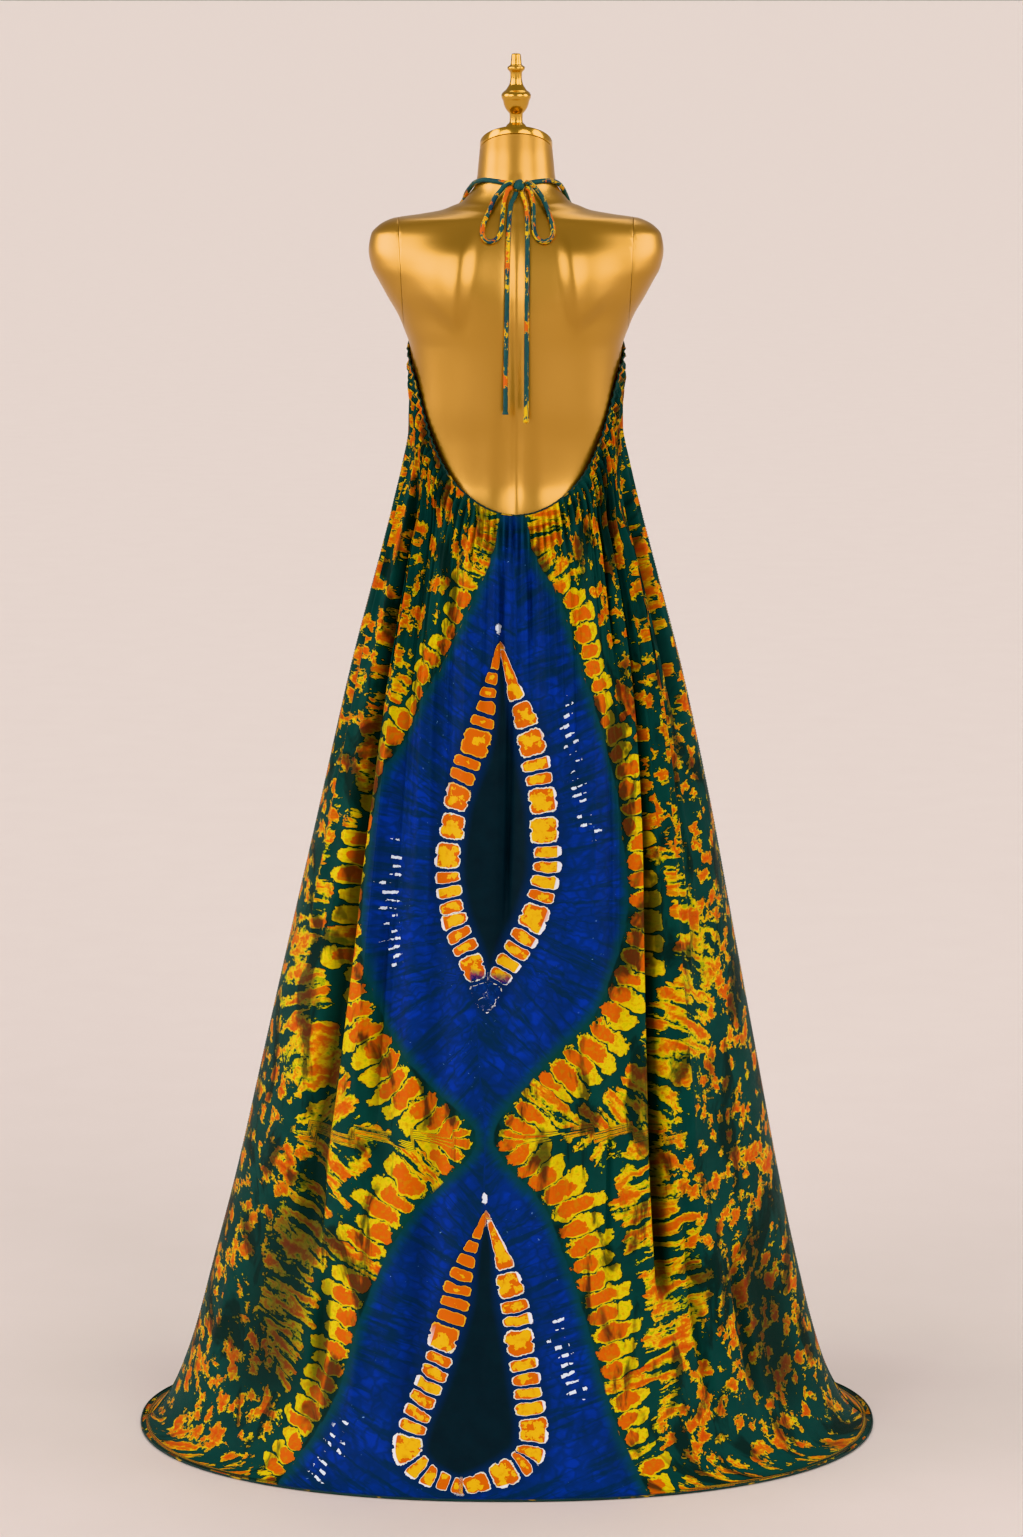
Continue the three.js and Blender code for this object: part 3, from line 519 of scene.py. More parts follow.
# Dyed cloth.
# Soft light viscose, tied and stitched up before it was dyed: blue medallions with a dark eye in a chain of
# orange and yellow ties, then rays of them, and small yellow and orange stars all over a dark teal ground.
DRESS_RINGS = [
    (1.612, 0.158, 0.078, 0.067, 0, 2), (1.588, 0.193, 0.09, 0.08, 0, 2),
    (1.567, 0.197, 0.097, 0.091, 0, 2), (1.546, 0.193, 0.103, 0.098, 0, 2),
    (1.505, 0.171, 0.109, 0.111, 0, 2), (1.464, 0.15, 0.108, 0.122, 0, 2.05),
    (1.444, 0.1414, 0.106, 0.126, 0, 2.1), (1.392, 0.1386, 0.101, 0.129, 0, 2.15),
    (1.34, 0.1388, 0.095, 0.132, 0, 2.2), (1.288, 0.1475, 0.0915, 0.137, 0, 2.25),
    (1.235, 0.1608, 0.0925, 0.144, 0, 2.3), (1.183, 0.1748, 0.105, 0.151, 0, 2.3),
    (1.024, 0.217, 0.143, 0.175, 0, 2.3), (0.864, 0.2529, 0.176, 0.197, -0.0007, 2.25),
    (0.675, 0.2927, 0.21, 0.219, -0.0047, 2.2), (0.512, 0.3267, 0.238, 0.237, -0.008, 2.2),
    (0.348, 0.3609, 0.264, 0.255, -0.0114, 2.2), (0.209, 0.3939, 0.288, 0.27, -0.0147, 2.2),
    (0.126, 0.4156, 0.303, 0.28, -0.0154, 2.2), (0.07, 0.4345, 0.318, 0.29, -0.016, 2.2),
    (0.042, 0.447, 0.328, 0.297, -0.0155, 2.2), (0.02, 0.461, 0.34, 0.306, -0.0145, 2.2),
    (0.007, 0.474, 0.351, 0.313, -0.0135, 2.2), (0.0015, 0.485, 0.359, 0.318, -0.0127, 2.2),
    (0.0015, 0.4934, 0.365, 0.322, -0.0121, 2.2),
]
dress_places = [0]
for above, below in zip(DRESS_RINGS, DRESS_RINGS[1:]):
    outwards = (below[1] + below[2] - above[1] - above[2]) / 2
    dress_places.append(dress_places[-1] + math.hypot(outwards, below[0] - above[0]))
HEM = dress_places[-1]
dress = Surface(DRESS_RINGS, dress_places, -1)
place_of_height = curve([-ring[0] for ring in DRESS_RINGS[:-1]], dress_places[:-1])

# Medallion: height, its left and its right edge as distances over the cloth from the middle
MEDALLION = [
    (1.232, -0.022, 0.013), (1.19, -0.03, 0.022), (1.125, -0.06, 0.061), (1.0, -0.136, 0.106),
    (0.87, -0.205, 0.15), (0.74, -0.214, 0.164), (0.61, -0.186, 0.117), (0.52, -0.114, 0.03),
    (0.446, -0.04, -0.017), (0.355, -0.118, 0.052), (0.25, -0.176, 0.093), (0.11, -0.224, 0.134),
    (0.004, -0.305, 0.182),
]
# Each eye: height and the distance of the chain's line from the middle, from its upper tip round to the lower
UPPER_EYE = [
    [(1.072, -0.021), (0.985, -0.042), (0.925, -0.061), (0.86, -0.083), (0.79, -0.0905), (0.72, -0.077),
     (0.67, -0.052), (0.618, -0.031)],
    [(1.072, -0.021), (1.0, 0.002), (0.93, 0.024), (0.85, 0.039), (0.79, 0.042), (0.73, 0.028),
     (0.68, 0.003), (0.618, -0.031)],
]
LOWER_EYE = [
    [(0.352, -0.026), (0.285, -0.052), (0.2, -0.076), (0.13, -0.1), (0.085, -0.12), (0.05, -0.127),
     (0.026, -0.105), (0.012, -0.06)],
    [(0.352, -0.026), (0.29, -0.003), (0.21, 0.016), (0.13, 0.029), (0.08, 0.036), (0.05, 0.032),
     (0.03, 0.004), (0.012, -0.06)],
]
# Where the two medallions meet
PINCH = float(place_of_height(-0.446))
# Pitch of the chain's ties and of the border's strips; each chain starts its own run of ties
TIE_PITCH = 0.019
STRIP_PITCH = 0.0235
TIES_A_CHAIN = 64
FIRST_TAPER = 0.06
# Rows of small white ties: height and distance from the middle, along each row
WHITE_ROWS = [
    [(0.987, 0.066), (0.92, 0.08), (0.834, 0.104)],
    [(0.815, -0.165), (0.75, -0.176), (0.665, -0.163)],
    [(0.215, 0.062), (0.17, 0.076), (0.12, 0.092)],
    [(0.075, -0.215), (0.04, -0.23), (0.012, -0.25)],
]


def line_of(rows, steps):
    """A smooth line over the flat cloth: distance from the middle and place down it."""
    places = place_of_height(-np.array([row[0] for row in rows]))
    fine = np.linspace(places[0], places[-1], steps)
    return np.stack([curve(places, [row[1] for row in rows])(fine), fine], 1)


def nearest(points, line):
    """Each point's distance from a line, and how far along it that is."""
    best = np.full(len(points), 1e9)
    run_at = np.zeros(len(points))
    run = 0.0
    for start, end in zip(line, line[1:]):
        span = end - start
        length = float(np.hypot(*span))
        share = np.clip((points - start) @ span / length ** 2, 0, 1)
        away = np.linalg.norm(points - start - share[:, None] * span, axis=1)
        closer = away < best
        best[closer] = away[closer]
        run_at[closer] = run + share[closer] * length
        run += length
    return best, run_at


def medallion_marks(across, place):
    """Where each point of the flat cloth lies in the dyer's marks, all in metres."""
    points = np.stack([across, place], 1)
    left = line_of([(row[0], row[1]) for row in MEDALLION], 150)
    right = line_of([(row[0], row[2]) for row in MEDALLION], 150)
    left_away, left_run = nearest(points, left)
    right_away, right_run = nearest(points, right)
    is_left = left_away < right_away
    within = across > np.interp(place, left[:, 1], left[:, 0])
    within &= across < np.interp(place, right[:, 1], right[:, 0])
    within &= place > left[0, 1] - 0.001
    marks = {
        "border": np.where(within, 1, -1) * np.minimum(left_away, right_away),
        "border_run": np.where(is_left, left_run + 4, right_run),
    }
    upper = place < place_of_height(-0.47)
    chain = np.full(len(points), 1e9)
    run = np.zeros(len(points))
    width = np.full(len(points), 0.01)
    pale = np.zeros(len(points))
    inside = np.zeros(len(points), bool)
    for eye, here, offset in ((UPPER_EYE, upper, 0), (LOWER_EYE, ~upper, 1)):
        sides = [line_of(side, 90) for side in eye]
        for number, line in enumerate(sides):
            away, along = nearest(points, line)
            closer = here & (away < chain)
            length = float(np.sum(np.hypot(*np.diff(line, axis=0).T)))
            share = along / length
            chain[closer] = away[closer]
            if number:
                slow = along * TIE_PITCH / FIRST_TAPER
                along = np.where(along < FIRST_TAPER, slow, along - FIRST_TAPER + TIE_PITCH)
            run[closer] = along[closer] + TIE_PITCH * TIES_A_CHAIN * (number + 4 * offset)
            shape = 0.004 + 0.0155 * smooth(0, 0.3, share) * (1 - 0.45 * smooth(0.8, 1, share))
            width[closer] = shape[closer]
            whitened = smooth(0.38, 0.46, share) if number == 0 else 1
            faded = smooth(0.922, 0.928, share) * (1 - offset)
            pale[closer] = (whitened + faded)[closer]
        a, b = sides
        between = across > np.interp(place, a[:, 1], a[:, 0])
        between &= across < np.interp(place, b[:, 1], b[:, 0])
        inside |= here & between & (place > a[0, 1]) & (place < a[-1, 1])
    marks["chain"] = np.where(inside, -1, 1) * chain / width
    marks["chain_run"] = run
    marks["chain_pale"] = pale
    # a white drop stands above each eye's upper tip
    tips = [(eye[0][0][1], float(place_of_height(-eye[0][0][0]))) for eye in (UPPER_EYE, LOWER_EYE)]
    drops = [np.hypot(across - x + 0.002, 0.5 * (place - y + 0.017)) for x, y in tips]
    marks["drop"] = np.minimum(*drops) - 0.0042
    marks["white"] = np.min([nearest(points, line_of(row, 20))[0] for row in WHITE_ROWS], 0)
    return marks


def dyed_cloth(name, with_medallions, scale=1.0):
    """How wet each place was with yellow and orange is one number; the rest took teal or blue."""
    cloth = Finish(name)
    cut = cloth.node("ShaderNodeUVMap", {"uv_map": "Cut"})

    def mark(which):
        return cloth.node("ShaderNodeAttribute", {"attribute_name": which}, None, "Fac")

    def pair(first, second):
        return cloth.node("ShaderNodeCombineXYZ", None, {"X": first, "Y": second})

    def vector(way, first, second):
        key = "Scale" if way == "SCALE" else 1
        return cloth.node("ShaderNodeVectorMath", {"operation": way}, {0: first, key: second})

    def chance_of(number):
        return cloth.node("ShaderNodeTexWhiteNoise", {"noise_dimensions": "1D"}, {"W": number})

    wander = cloth.noise(cut, 120 * scale, 3, 0.6, 0, "Color")
    blown = vector("ADD", cut, vector("SCALE", vector("SUBTRACT", wander, (0.5, 0.5, 0.5)), 0.0075 / scale))
    region = cloth.noise(cut, 13 * scale, 2, 0.5) - 0.5
    fine = cloth.noise(blown, 210 * scale, 3, 0.6) - 0.5
    second = cloth.noise(blown, 62 * scale, 3, 0.6) - 0.5
    stretched = cloth.node("ShaderNodeMapping", {}, {"Vector": blown, "Scale": (1, 0.78, 1)})
    stars = cloth.node("ShaderNodeTexVoronoi", None, {"Vector": stretched, "Scale": 58 * scale})
    pinched = cloth.node("ShaderNodeMapping", {}, {"Vector": blown, "Scale": (2.0, 0.42, 1)})
    blots = cloth.noise(stretched, 58 * scale, 4, 0.64, 0.4)
    blots = blots + (cloth.noise(pinched, 62 * scale, 3, 0.6, 0.3) + 0.012 - blots) * mark("gathered")
    wet = (blots - 0.5) * 0.85 + 0.5 + (0.44 - stars) * 0.4 + region * 0.3 + fine * 0.36 - 0.01
    ground = cloth.mix(cloth.noise(cut, 16 * scale, 4, 0.6), (0.001, 0.016, 0.018), (0.002, 0.058, 0.048))
    heat = wet + second * 0.3 + 0.012

    if with_medallions:
        border = mark("border")
        run = mark("border_run")
        down = cloth.node("ShaderNodeSeparateXYZ", None, {"Vector": cut}, "Y")
        jolt = cloth.noise(cut, 42, 2, 0.5) - 0.5
        outside = jolt * 0.01 + fine * 0.004 - border
        # rays of streaks run out from the border, most of all between the medallions
        waist = 1 - cloth.step(abs(down + PINCH), 0.18, 0.44)
        beside = (1 - cloth.step(outside, 0.02, 0.11)) * 0.045
        wet = wet + beside
        heat = heat + beside
        reach = 1 - cloth.step(outside + region * 0.12 - waist * 0.14, 0.014, 0.06)
        ray = cloth.noise(pair(run * 80 + jolt * 0.9, border * 13), 1, 3, 0.54, 0.3)
        rays = ray + 0.038 + fine * 0.2
        wet = wet + (rays - wet) * reach * 0.92
        heat = heat + (rays + second * 0.25 - 0.03 - heat) * reach * 0.92
        # a ragged row of long ties across the border, with a thread's width of teal between them
        along = run / STRIP_PITCH + jolt * 0.9 + second * 0.24 + fine * 0.16
        number = along.maths("FLOOR")
        chance = chance_of(number)
        long = 0.028 + chance * 0.024 + waist * 0.03
        share = (outside - 0.0005) / long
        lengthways = abs(share - 0.5) * 2
        sideways = abs(along - number - 0.5) * 2
        tapered = sideways + (0.22 - share).maths("MAXIMUM", 0) * 1.5
        tapered = tapered + (share - 0.45).maths("MAXIMUM", 0) * 0.35
        core_length, core_width = (share - 0.36 - (chance - 0.5) * 0.2) / 0.31, sideways / 0.8
        core = 1 - core_length * core_length - core_width * core_width * core_width
        core = cloth.step(core + fine * 1.1 + second * 1.2, -0.03, 0.1)
        lengthways, tapered = lengthways * lengthways, tapered * tapered
        round_it = (lengthways * lengthways + tapered * tapered * 0.9).maths("POWER", 0.25)
        inner = 0.93 - round_it + fine * 0.46 + second * 0.26
        band = cloth.step(share, -0.12, 0) * (1 - cloth.step(share, 1.0, 1.25))
        band = band * cloth.step(chance_of(number + 0.37), 0.05, 0.09)
        band = band * (1 - cloth.step(mark("gathered"), 0.55, 0.8))
        wet = wet + (0.5 + inner * 0.55 - wet) * band
        heat = heat + (0.503 + fine * 0.06 + core * 0.105 - heat) * band

    tone = cloth.noise(cut, 150 * scale, 3)
    dyed = cloth.node("ShaderNodeValToRGB", {"stops": [
        (0.47, (0.3, 0.32, 0.002)), (0.5, (0.6, 0.46, 0.002)), (0.535, (0.64, 0.37, 0.002)),
        (0.56, (0.6, 0.215, 0.002)), (0.592, (0.54, 0.095, 0.001)), (0.72, (0.46, 0.05, 0.001)),
    ]}, {"Fac": heat + (tone - 0.5) * 0.1}, "Color")
    dyed = cloth.mix(cloth.step(tone, 0.48, 0.66) * 0.55, dyed, (0.42, 0.2, 0.002))
    dyed = cloth.mix((1 - cloth.step(wet, 0.492, 0.512)) * 0.7, dyed, (0.12, 0.19, 0.004))
    colour = cloth.mix(cloth.step(wet, 0.49, 0.508), ground, dyed)
    # painted shade: streaky dark clouds stand in for the shadows along the folds, and the folds' valleys and
    # the gathers' troughs are painted darker still
    shade_streak_place = cloth.node("ShaderNodeMapping", {}, {"Vector": cut, "Scale": (24, 9, 1)})
    cloud = cloth.step(cloth.noise(shade_streak_place, scale, 4, 0.6, 0.6), 0.5, 0.61)
    valley = mark("valley")
    colour = cloth.mix((cloud * 0.84).maths("MAXIMUM", valley * 0.84), colour, (0.001, 0.011, 0.01))

    if with_medallions:
        # blue of the medallion, with fine dark rays and squares where the pleats kept the dye out
        deep = border + jolt * 0.007
        bent = jolt * 1.5
        squares = {"Vector": pair(run * 72 + bent, border * 50 + bent), "Scale": 1, "Randomness": 0.7}
        brick = cloth.node("ShaderNodeTexVoronoi", {"feature": "DISTANCE_TO_EDGE"}, squares)
        veins = cloth.noise(pair(run * 90, border * 9), 1, 4, 0.62, 0.5)
        cloud = cloth.noise(cut, 18, 4, 0.6)
        blue = cloth.mix(cloth.step(cloud, 0.35, 0.65), (0.0, 0.018, 0.145), (0.0, 0.025, 0.3))
        blue = cloth.mix((1 - cloth.step(brick, 0.02, 0.22)) * 0.6, blue, (0.0, 0.016, 0.07))
        blue = cloth.mix(cloth.step(veins, 0.46, 0.62) * 0.8, blue, (0.001, 0.018, 0.045))
        # painted shade: the blue is also darkened in the folds' valleys and the gathers' troughs
        blue = cloth.mix(valley * 0.55, blue, (0.0, 0.01, 0.035))
        blue = cloth.mix((1 - cloth.step(deep, 0.001, 0.019)) * 0.9, blue, (0.002, 0.04, 0.045))
        colour = cloth.mix(cloth.step(deep, -0.0012, 0.0022), colour, blue)
        # small white ties, strung along the rays beside the chain, and a few strays
        ray_of = run / 0.0118 + jolt * 0.5
        ray_number = ray_of.maths("FLOOR")
        step_of = border / 0.009 + chance_of(ray_number) * 5
        step_number = step_of.maths("FLOOR")
        luck = chance_of(ray_number * 7.31 + step_number * 3.17)
        aside = abs(ray_of - ray_number - 0.5) * 0.0118
        ahead = abs(step_of - step_number - 0.5) * 0.009
        near = 1 - cloth.step(mark("white") + fine * 0.014, 0.006, 0.02)
        size = cloth.step(luck + near * 0.64, 0.975, 1.5)
        spot = (aside * 1.8).maths("MAXIMUM", ahead * 0.6) + fine * 0.007
        well_in = cloth.step(deep, 0.012, 0.02)
        tied = (1 - cloth.step(spot - size * 0.0038, -0.0004, 0.0003)) * cloth.step(size, 0.01, 0.06)
        colour = cloth.mix(tied * well_in, colour, (0.62, 0.68, 0.8))
        specks = cloth.step(cloth.noise(blown, 230, 2, 0.5), 0.71, 0.745)
        specks = specks * cloth.step(cloth.noise(cut, 15, 1), 0.48, 0.62)
        colour = cloth.mix(specks * well_in * 0.7, colour, (0.2, 0.38, 0.75))
        drop = 1 - cloth.step(mark("drop") + fine * 0.006, -0.0006, 0.0004)
        colour = cloth.mix(drop, colour, (0.62, 0.66, 0.76))
        # dark eye and its chain of ties
        chain = mark("chain")
        chain_run = mark("chain_run")
        eye = cloth.mix(cloth.noise(cut, 40, 3), (0.0012, 0.0065, 0.0125), (0.0025, 0.015, 0.024))
        colour = cloth.mix(1 - cloth.step(chain, -1.1, -0.7), colour, eye)
        colour = cloth.mix((1 - cloth.step(abs(chain), 0.95, 1.6)) * 0.75, colour, (0.0, 0.014, 0.07))
        link = chain_run / TIE_PITCH + jolt * 0.45
        number = link.maths("FLOOR")
        twin = (link * 0.5).maths("FLOOR")
        joined = cloth.step(chance_of(twin + 0.61), 0.48, 0.52)
        chance = chance_of(number)
        pale = mark("chain_pale").maths("MINIMUM", 1)
        faded = mark("chain_pale") - pale
        across = abs(chain + (chance_of(twin) - 0.5) * 0.24) / (0.93 + chance * 0.1)
        apart = abs(link - number - 0.5) * (2.62 - pale * 0.22)
        paired = abs(link * 0.5 - twin - 0.5) * 2.16
        beside = apart + (paired - apart) * joined
        across, beside = across * across, beside * beside
        beside = beside * (1.1 - across * (0.3 - pale * 0.14))
        notch = (1 - cloth.step(abs(link * 0.5 - twin - 0.5), 0.02, 0.09)) * joined
        round_it = (across * across + beside * beside).maths("POWER", 0.25)
        round_it = round_it - fine * 0.26 + notch * across * 0.2
        yellow = 0.58 - round_it * 0.7 + second * 2.6 + fine * 0.4 + (chance - 0.5) * 0.4
        yellow = yellow - (1 - pale) * 0.5 - notch * 0.1
        tie = cloth.mix(cloth.step(yellow, 0.1, 0.14), (0.54, 0.1, 0.001), (0.66, 0.37, 0.003))
        tie = cloth.mix(cloth.step(tone, 0.5, 0.72) * 0.35, tie, (0.46, 0.11, 0.001))
        tie = cloth.mix(faded, tie, (0.001, 0.025, 0.16))
        rim = cloth.step(round_it, 0.88, 0.92)
        tie = cloth.mix(rim, tie, cloth.mix(pale, (0.62, 0.36, 0.03), (0.6, 0.6, 0.54)))
        cap = cloth.step(chain, 0.74, 0.82) * cloth.step(chance, 0.35, 0.5) * pale
        tie = cloth.mix(cap, tie, (0.66, 0.66, 0.72))
        shown = (1 - cloth.step(round_it, 0.975, 1.0)) * (1 - faded * cloth.step(second + fine, -0.05, 0))
        colour = cloth.mix(shown, colour, tie)

    threads = {"Vector": cut, "Scale": 420, "Distortion": 0.6, "Detail": 1}
    weave = cloth.node("ShaderNodeTexWave", {"bands_direction": "X"}, threads)
    weft = cloth.node("ShaderNodeTexWave", {"bands_direction": "Y"}, threads)
    crumple = cloth.noise(cut, 55, 3, 0.55)
    height = weave * 0.12 + weft * 0.12 + crumple
    relief = cloth.node("ShaderNodeBump", {}, {"Strength": 0.35, "Distance": 0.0012, "Height": height})
    rough = 0.58 + cloth.noise(cut, 130, 2) * 0.16
    return cloth.finished(
        Base_Color=colour, Roughness=rough, Normal=relief,
        Sheen_Weight=0.05, Sheen_Roughness=0.45, Specular_IOR_Level=0.22,
    )


MEDALLION_CLOTH = dyed_cloth("medallion_cloth", True)
NARROW_CLOTH = dyed_cloth("narrow_cloth", False, 2.2)


# Panels.
# The back and the front are each one flared piece of dyed cloth, joined at the side seams under the arms.
# The back is gathered along its deep U edge and the front at its neck, and both fall freely to the floor.
def edge_stretch(middle, rows):
    """One stretch of a panel's upper edge, as place and spread over a share of its length."""
    height, across = np.array(rows).T
    place = place_of_height(-height)
    _, half, back, front, _, power = dress.ring(place)
    depth = back if middle == 0 else front
    share = np.minimum(across / half, 1)
    spread = np.degrees(np.arctan2(across, depth * (1 - share ** power) ** (1 / power)))
    solid = dress.point(spread + middle, place)
    run = np.concatenate([[0], np.cumsum(np.linalg.norm(np.diff(solid, axis=0), axis=1))])
    return curve(run / run[-1], place), curve(run / run[-1], spread)


# Open back and front neck: height and distance from the middle
BACK_EDGE = edge_stretch(0, [
    (1.232, 0), (1.2345, 0.018), (1.241, 0.037), (1.255, 0.06), (1.278, 0.0845), (1.304, 0.101),
    (1.341, 0.117), (1.373, 0.126), (1.41, 0.134), (1.441, 0.142),
])
NECK_EDGE = edge_stretch(180, [(1.574, 0), (1.576, 0.02), (1.581, 0.042), (1.5885, 0.062), (1.597, 0.078)])
ARMHOLE_EDGE = edge_stretch(180, [
    (1.597, 0.078), (1.572, 0.086), (1.535, 0.098), (1.495, 0.113), (1.462, 0.129), (1.441, 0.142),
])
# Folds: place across (-1 to 1), half-breadth, depth (a trough is below zero), top and bottom height
BACK_FOLDS = [
    (-0.9, 0.035, -0.006, 1.4, 0.86), (-0.84, 0.04, 0.006, 1.35, 0.3), (-0.76, 0.045, -0.009, 1.33, 0.42),
    (-0.68, 0.05, 0.007, 1.29, 0.24), (-0.58, 0.045, -0.009, 1.3, 0.33), (-0.48, 0.05, 0.006, 1.24, 0.16),
    (-0.38, 0.06, -0.008, 1.16, 0.06), (-0.22, 0.06, 0.004, 1.12, 0.12), (-0.03, 0.045, -0.009, 1.05, 0.56),
    (0.08, 0.05, 0.005, 1.08, 0.26), (0.24, 0.06, -0.006, 1.12, 0.12), (0.4, 0.06, 0.005, 1.18, 0.06),
    (0.52, 0.05, -0.006, 1.2, 0.52), (0.6, 0.035, 0.007, 1.23, 0.18), (0.66, 0.04, -0.008, 1.25, 0.13),
    (0.74, 0.04, 0.01, 1.27, 0.2), (0.83, 0.04, -0.008, 1.34, 0.56), (0.9, 0.035, 0.004, 1.37, 0.7),
    (-0.8, 0.09, -0.016, 0.42, 0.04), (0.87, 0.07, -0.017, 0.33, 0.026), (-0.44, 0.05, -0.01, 0.42, 0.05),
]
BACK_CREASES = [
    (-0.97, 0.01, 0.003, 1.4, 0.8), (-0.905, 0.011, -0.004, 1.39, 0.82),
    (-0.862, 0.0075, 0.009, 1.33, 0.64), (-0.81, 0.01, 0.0034, 1.35, 0.62),
    (-0.655, 0.0075, 0.008, 1.33, 0.46), (-0.565, 0.01, 0.0034, 1.31, 0.5),
    (-0.505, 0.01, -0.0036, 1.29, 0.74), (-0.42, 0.012, 0.0034, 1.26, 0.64),
    (-0.33, 0.012, -0.0034, 1.24, 0.78), (-0.245, 0.011, 0.003, 1.23, 0.86),
    (-0.15, 0.011, -0.0032, 1.225, 0.94), (-0.108, 0.01, 0.0034, 1.225, 0.9),
    (-0.03, 0.01, 0.0034, 1.22, 0.82), (0.03, 0.009, 0.003, 1.225, 0.96),
    (0.105, 0.01, 0.0034, 1.225, 0.94), (0.165, 0.01, -0.0034, 1.225, 0.92),
    (0.225, 0.011, 0.003, 1.23, 0.86), (0.3, 0.012, -0.0034, 1.24, 0.8), (0.375, 0.011, 0.0034, 1.26, 0.68),
    (0.465, 0.012, -0.0036, 1.28, 0.64), (0.51, 0.01, 0.0034, 1.29, 0.62),
    (0.618, 0.013, 0.005, 1.31, 0.22), (0.69, 0.011, 0.007, 1.32, 0.24), (0.738, 0.007, 0.009, 1.28, 0.4),
    (0.788, 0.007, 0.008, 1.24, 0.62), (0.835, 0.009, 0.004, 1.38, 0.6), (0.925, 0.01, 0.004, 1.395, 0.76),
    (0.76, 0.01, 0.005, 0.34, 0.04), (0.655, 0.014, 0.005, 0.3, 0.06), (-0.9, 0.014, 0.005, 0.3, 0.06),
    (-0.61, 0.014, 0.005, 0.3, 0.06), (-0.35, 0.016, 0.005, 0.24, 0.05), (0.56, 0.014, 0.0046, 0.26, 0.05),
]
BACK_GROOVES = [
    (0.65, 0.016, -0.017, 1.31, 0.2), (0.65, 0.017, -0.026, 1.06, 0.22),
    (-0.765, 0.024, -0.024, 1.26, 0.64), (-0.702, 0.012, -0.013, 1.29, 0.98),
    (0.56, 0.012, -0.014, 1.27, 1.02), (0.88, 0.017, -0.017, 1.33, 0.9), (-0.028, 0.012, -0.008, 1.06, 0.7),
    (-0.935, 0.012, -0.007, 1.36, 0.86), (-0.07, 0.011, -0.0062, 1.226, 1.0),
    (0.066, 0.01, -0.006, 1.226, 1.03), (0.712, 0.009, -0.01, 0.38, 0.05),
    (0.81, 0.013, -0.011, 0.32, 0.05), (-0.7, 0.016, -0.011, 0.3, 0.05), (-0.755, 0.03, -0.018, 0.76, 0.24),
    (-0.61, 0.011, -0.007, 0.78, 0.42), (0.48, 0.011, -0.006, 0.52, 0.2),
]
FRONT_FOLDS = [
    (-0.86, 0.05, -0.008, 1.25, 0.06), (-0.72, 0.07, 0.006, 1.29, 0.12), (-0.56, 0.06, -0.01, 1.32, 0.06),
    (-0.4, 0.06, 0.007, 1.34, 0.09), (-0.25, 0.06, -0.009, 1.39, 0.18), (-0.1, 0.06, 0.005, 1.38, 0.06),
    (0.06, 0.06, -0.008, 1.4, 0.26), (0.2, 0.06, 0.007, 1.36, 0.08), (0.36, 0.06, -0.01, 1.34, 0.06),
    (0.52, 0.07, 0.006, 1.32, 0.16), (0.67, 0.06, -0.009, 1.3, 0.05), (0.84, 0.06, 0.005, 1.24, 0.12),
]
FRONT_GROOVES = [
    (-0.6, 0.017, -0.013, 1.3, 0.3), (-0.24, 0.015, -0.011, 1.34, 0.52), (0.1, 0.015, -0.01, 1.4, 0.64),
    (0.39, 0.017, -0.014, 1.32, 0.26), (0.7, 0.015, -0.011, 1.26, 0.42), (-0.42, 0.015, -0.009, 0.42, 0.05),
]
FRONT_CREASES = [
    (-0.62, 0.016, 0.0034, 1.56, 0.9), (-0.5, 0.015, -0.003, 1.565, 0.82),
    (-0.44, 0.014, 0.003, 1.565, 0.98), (-0.33, 0.014, -0.0034, 1.56, 0.76),
    (-0.19, 0.014, 0.0034, 1.56, 0.7), (-0.04, 0.014, 0.003, 1.555, 0.64),
    (0.12, 0.014, 0.0034, 1.56, 0.82), (0.27, 0.014, -0.0034, 1.56, 0.7),
    (0.43, 0.015, 0.0036, 1.565, 0.76), (0.58, 0.015, -0.003, 1.56, 0.82),
    (0.74, 0.018, 0.0032, 1.38, 0.62), (-0.78, 0.018, -0.0032, 1.38, 0.56),
]
BELOW_EDGE = [
    0, 0.0012, 0.003, 0.0055, 0.008, 0.011, 0.014, 0.017, 0.0195, 0.022, 0.0245, 0.028, 0.033, 0.039, 0.046,
    0.054, 0.063, 0.073, 0.084, 0.096, 0.108, 0.12,
]
ABOVE_HEM = np.concatenate([np.linspace(0.15, 0.012, 20), [0.009, 0.0065, 0.004, 0.002, 0]])
MIDDLE_ROWS = 72
# Rows below the edge that keep every column
FINE_ROWS = 34


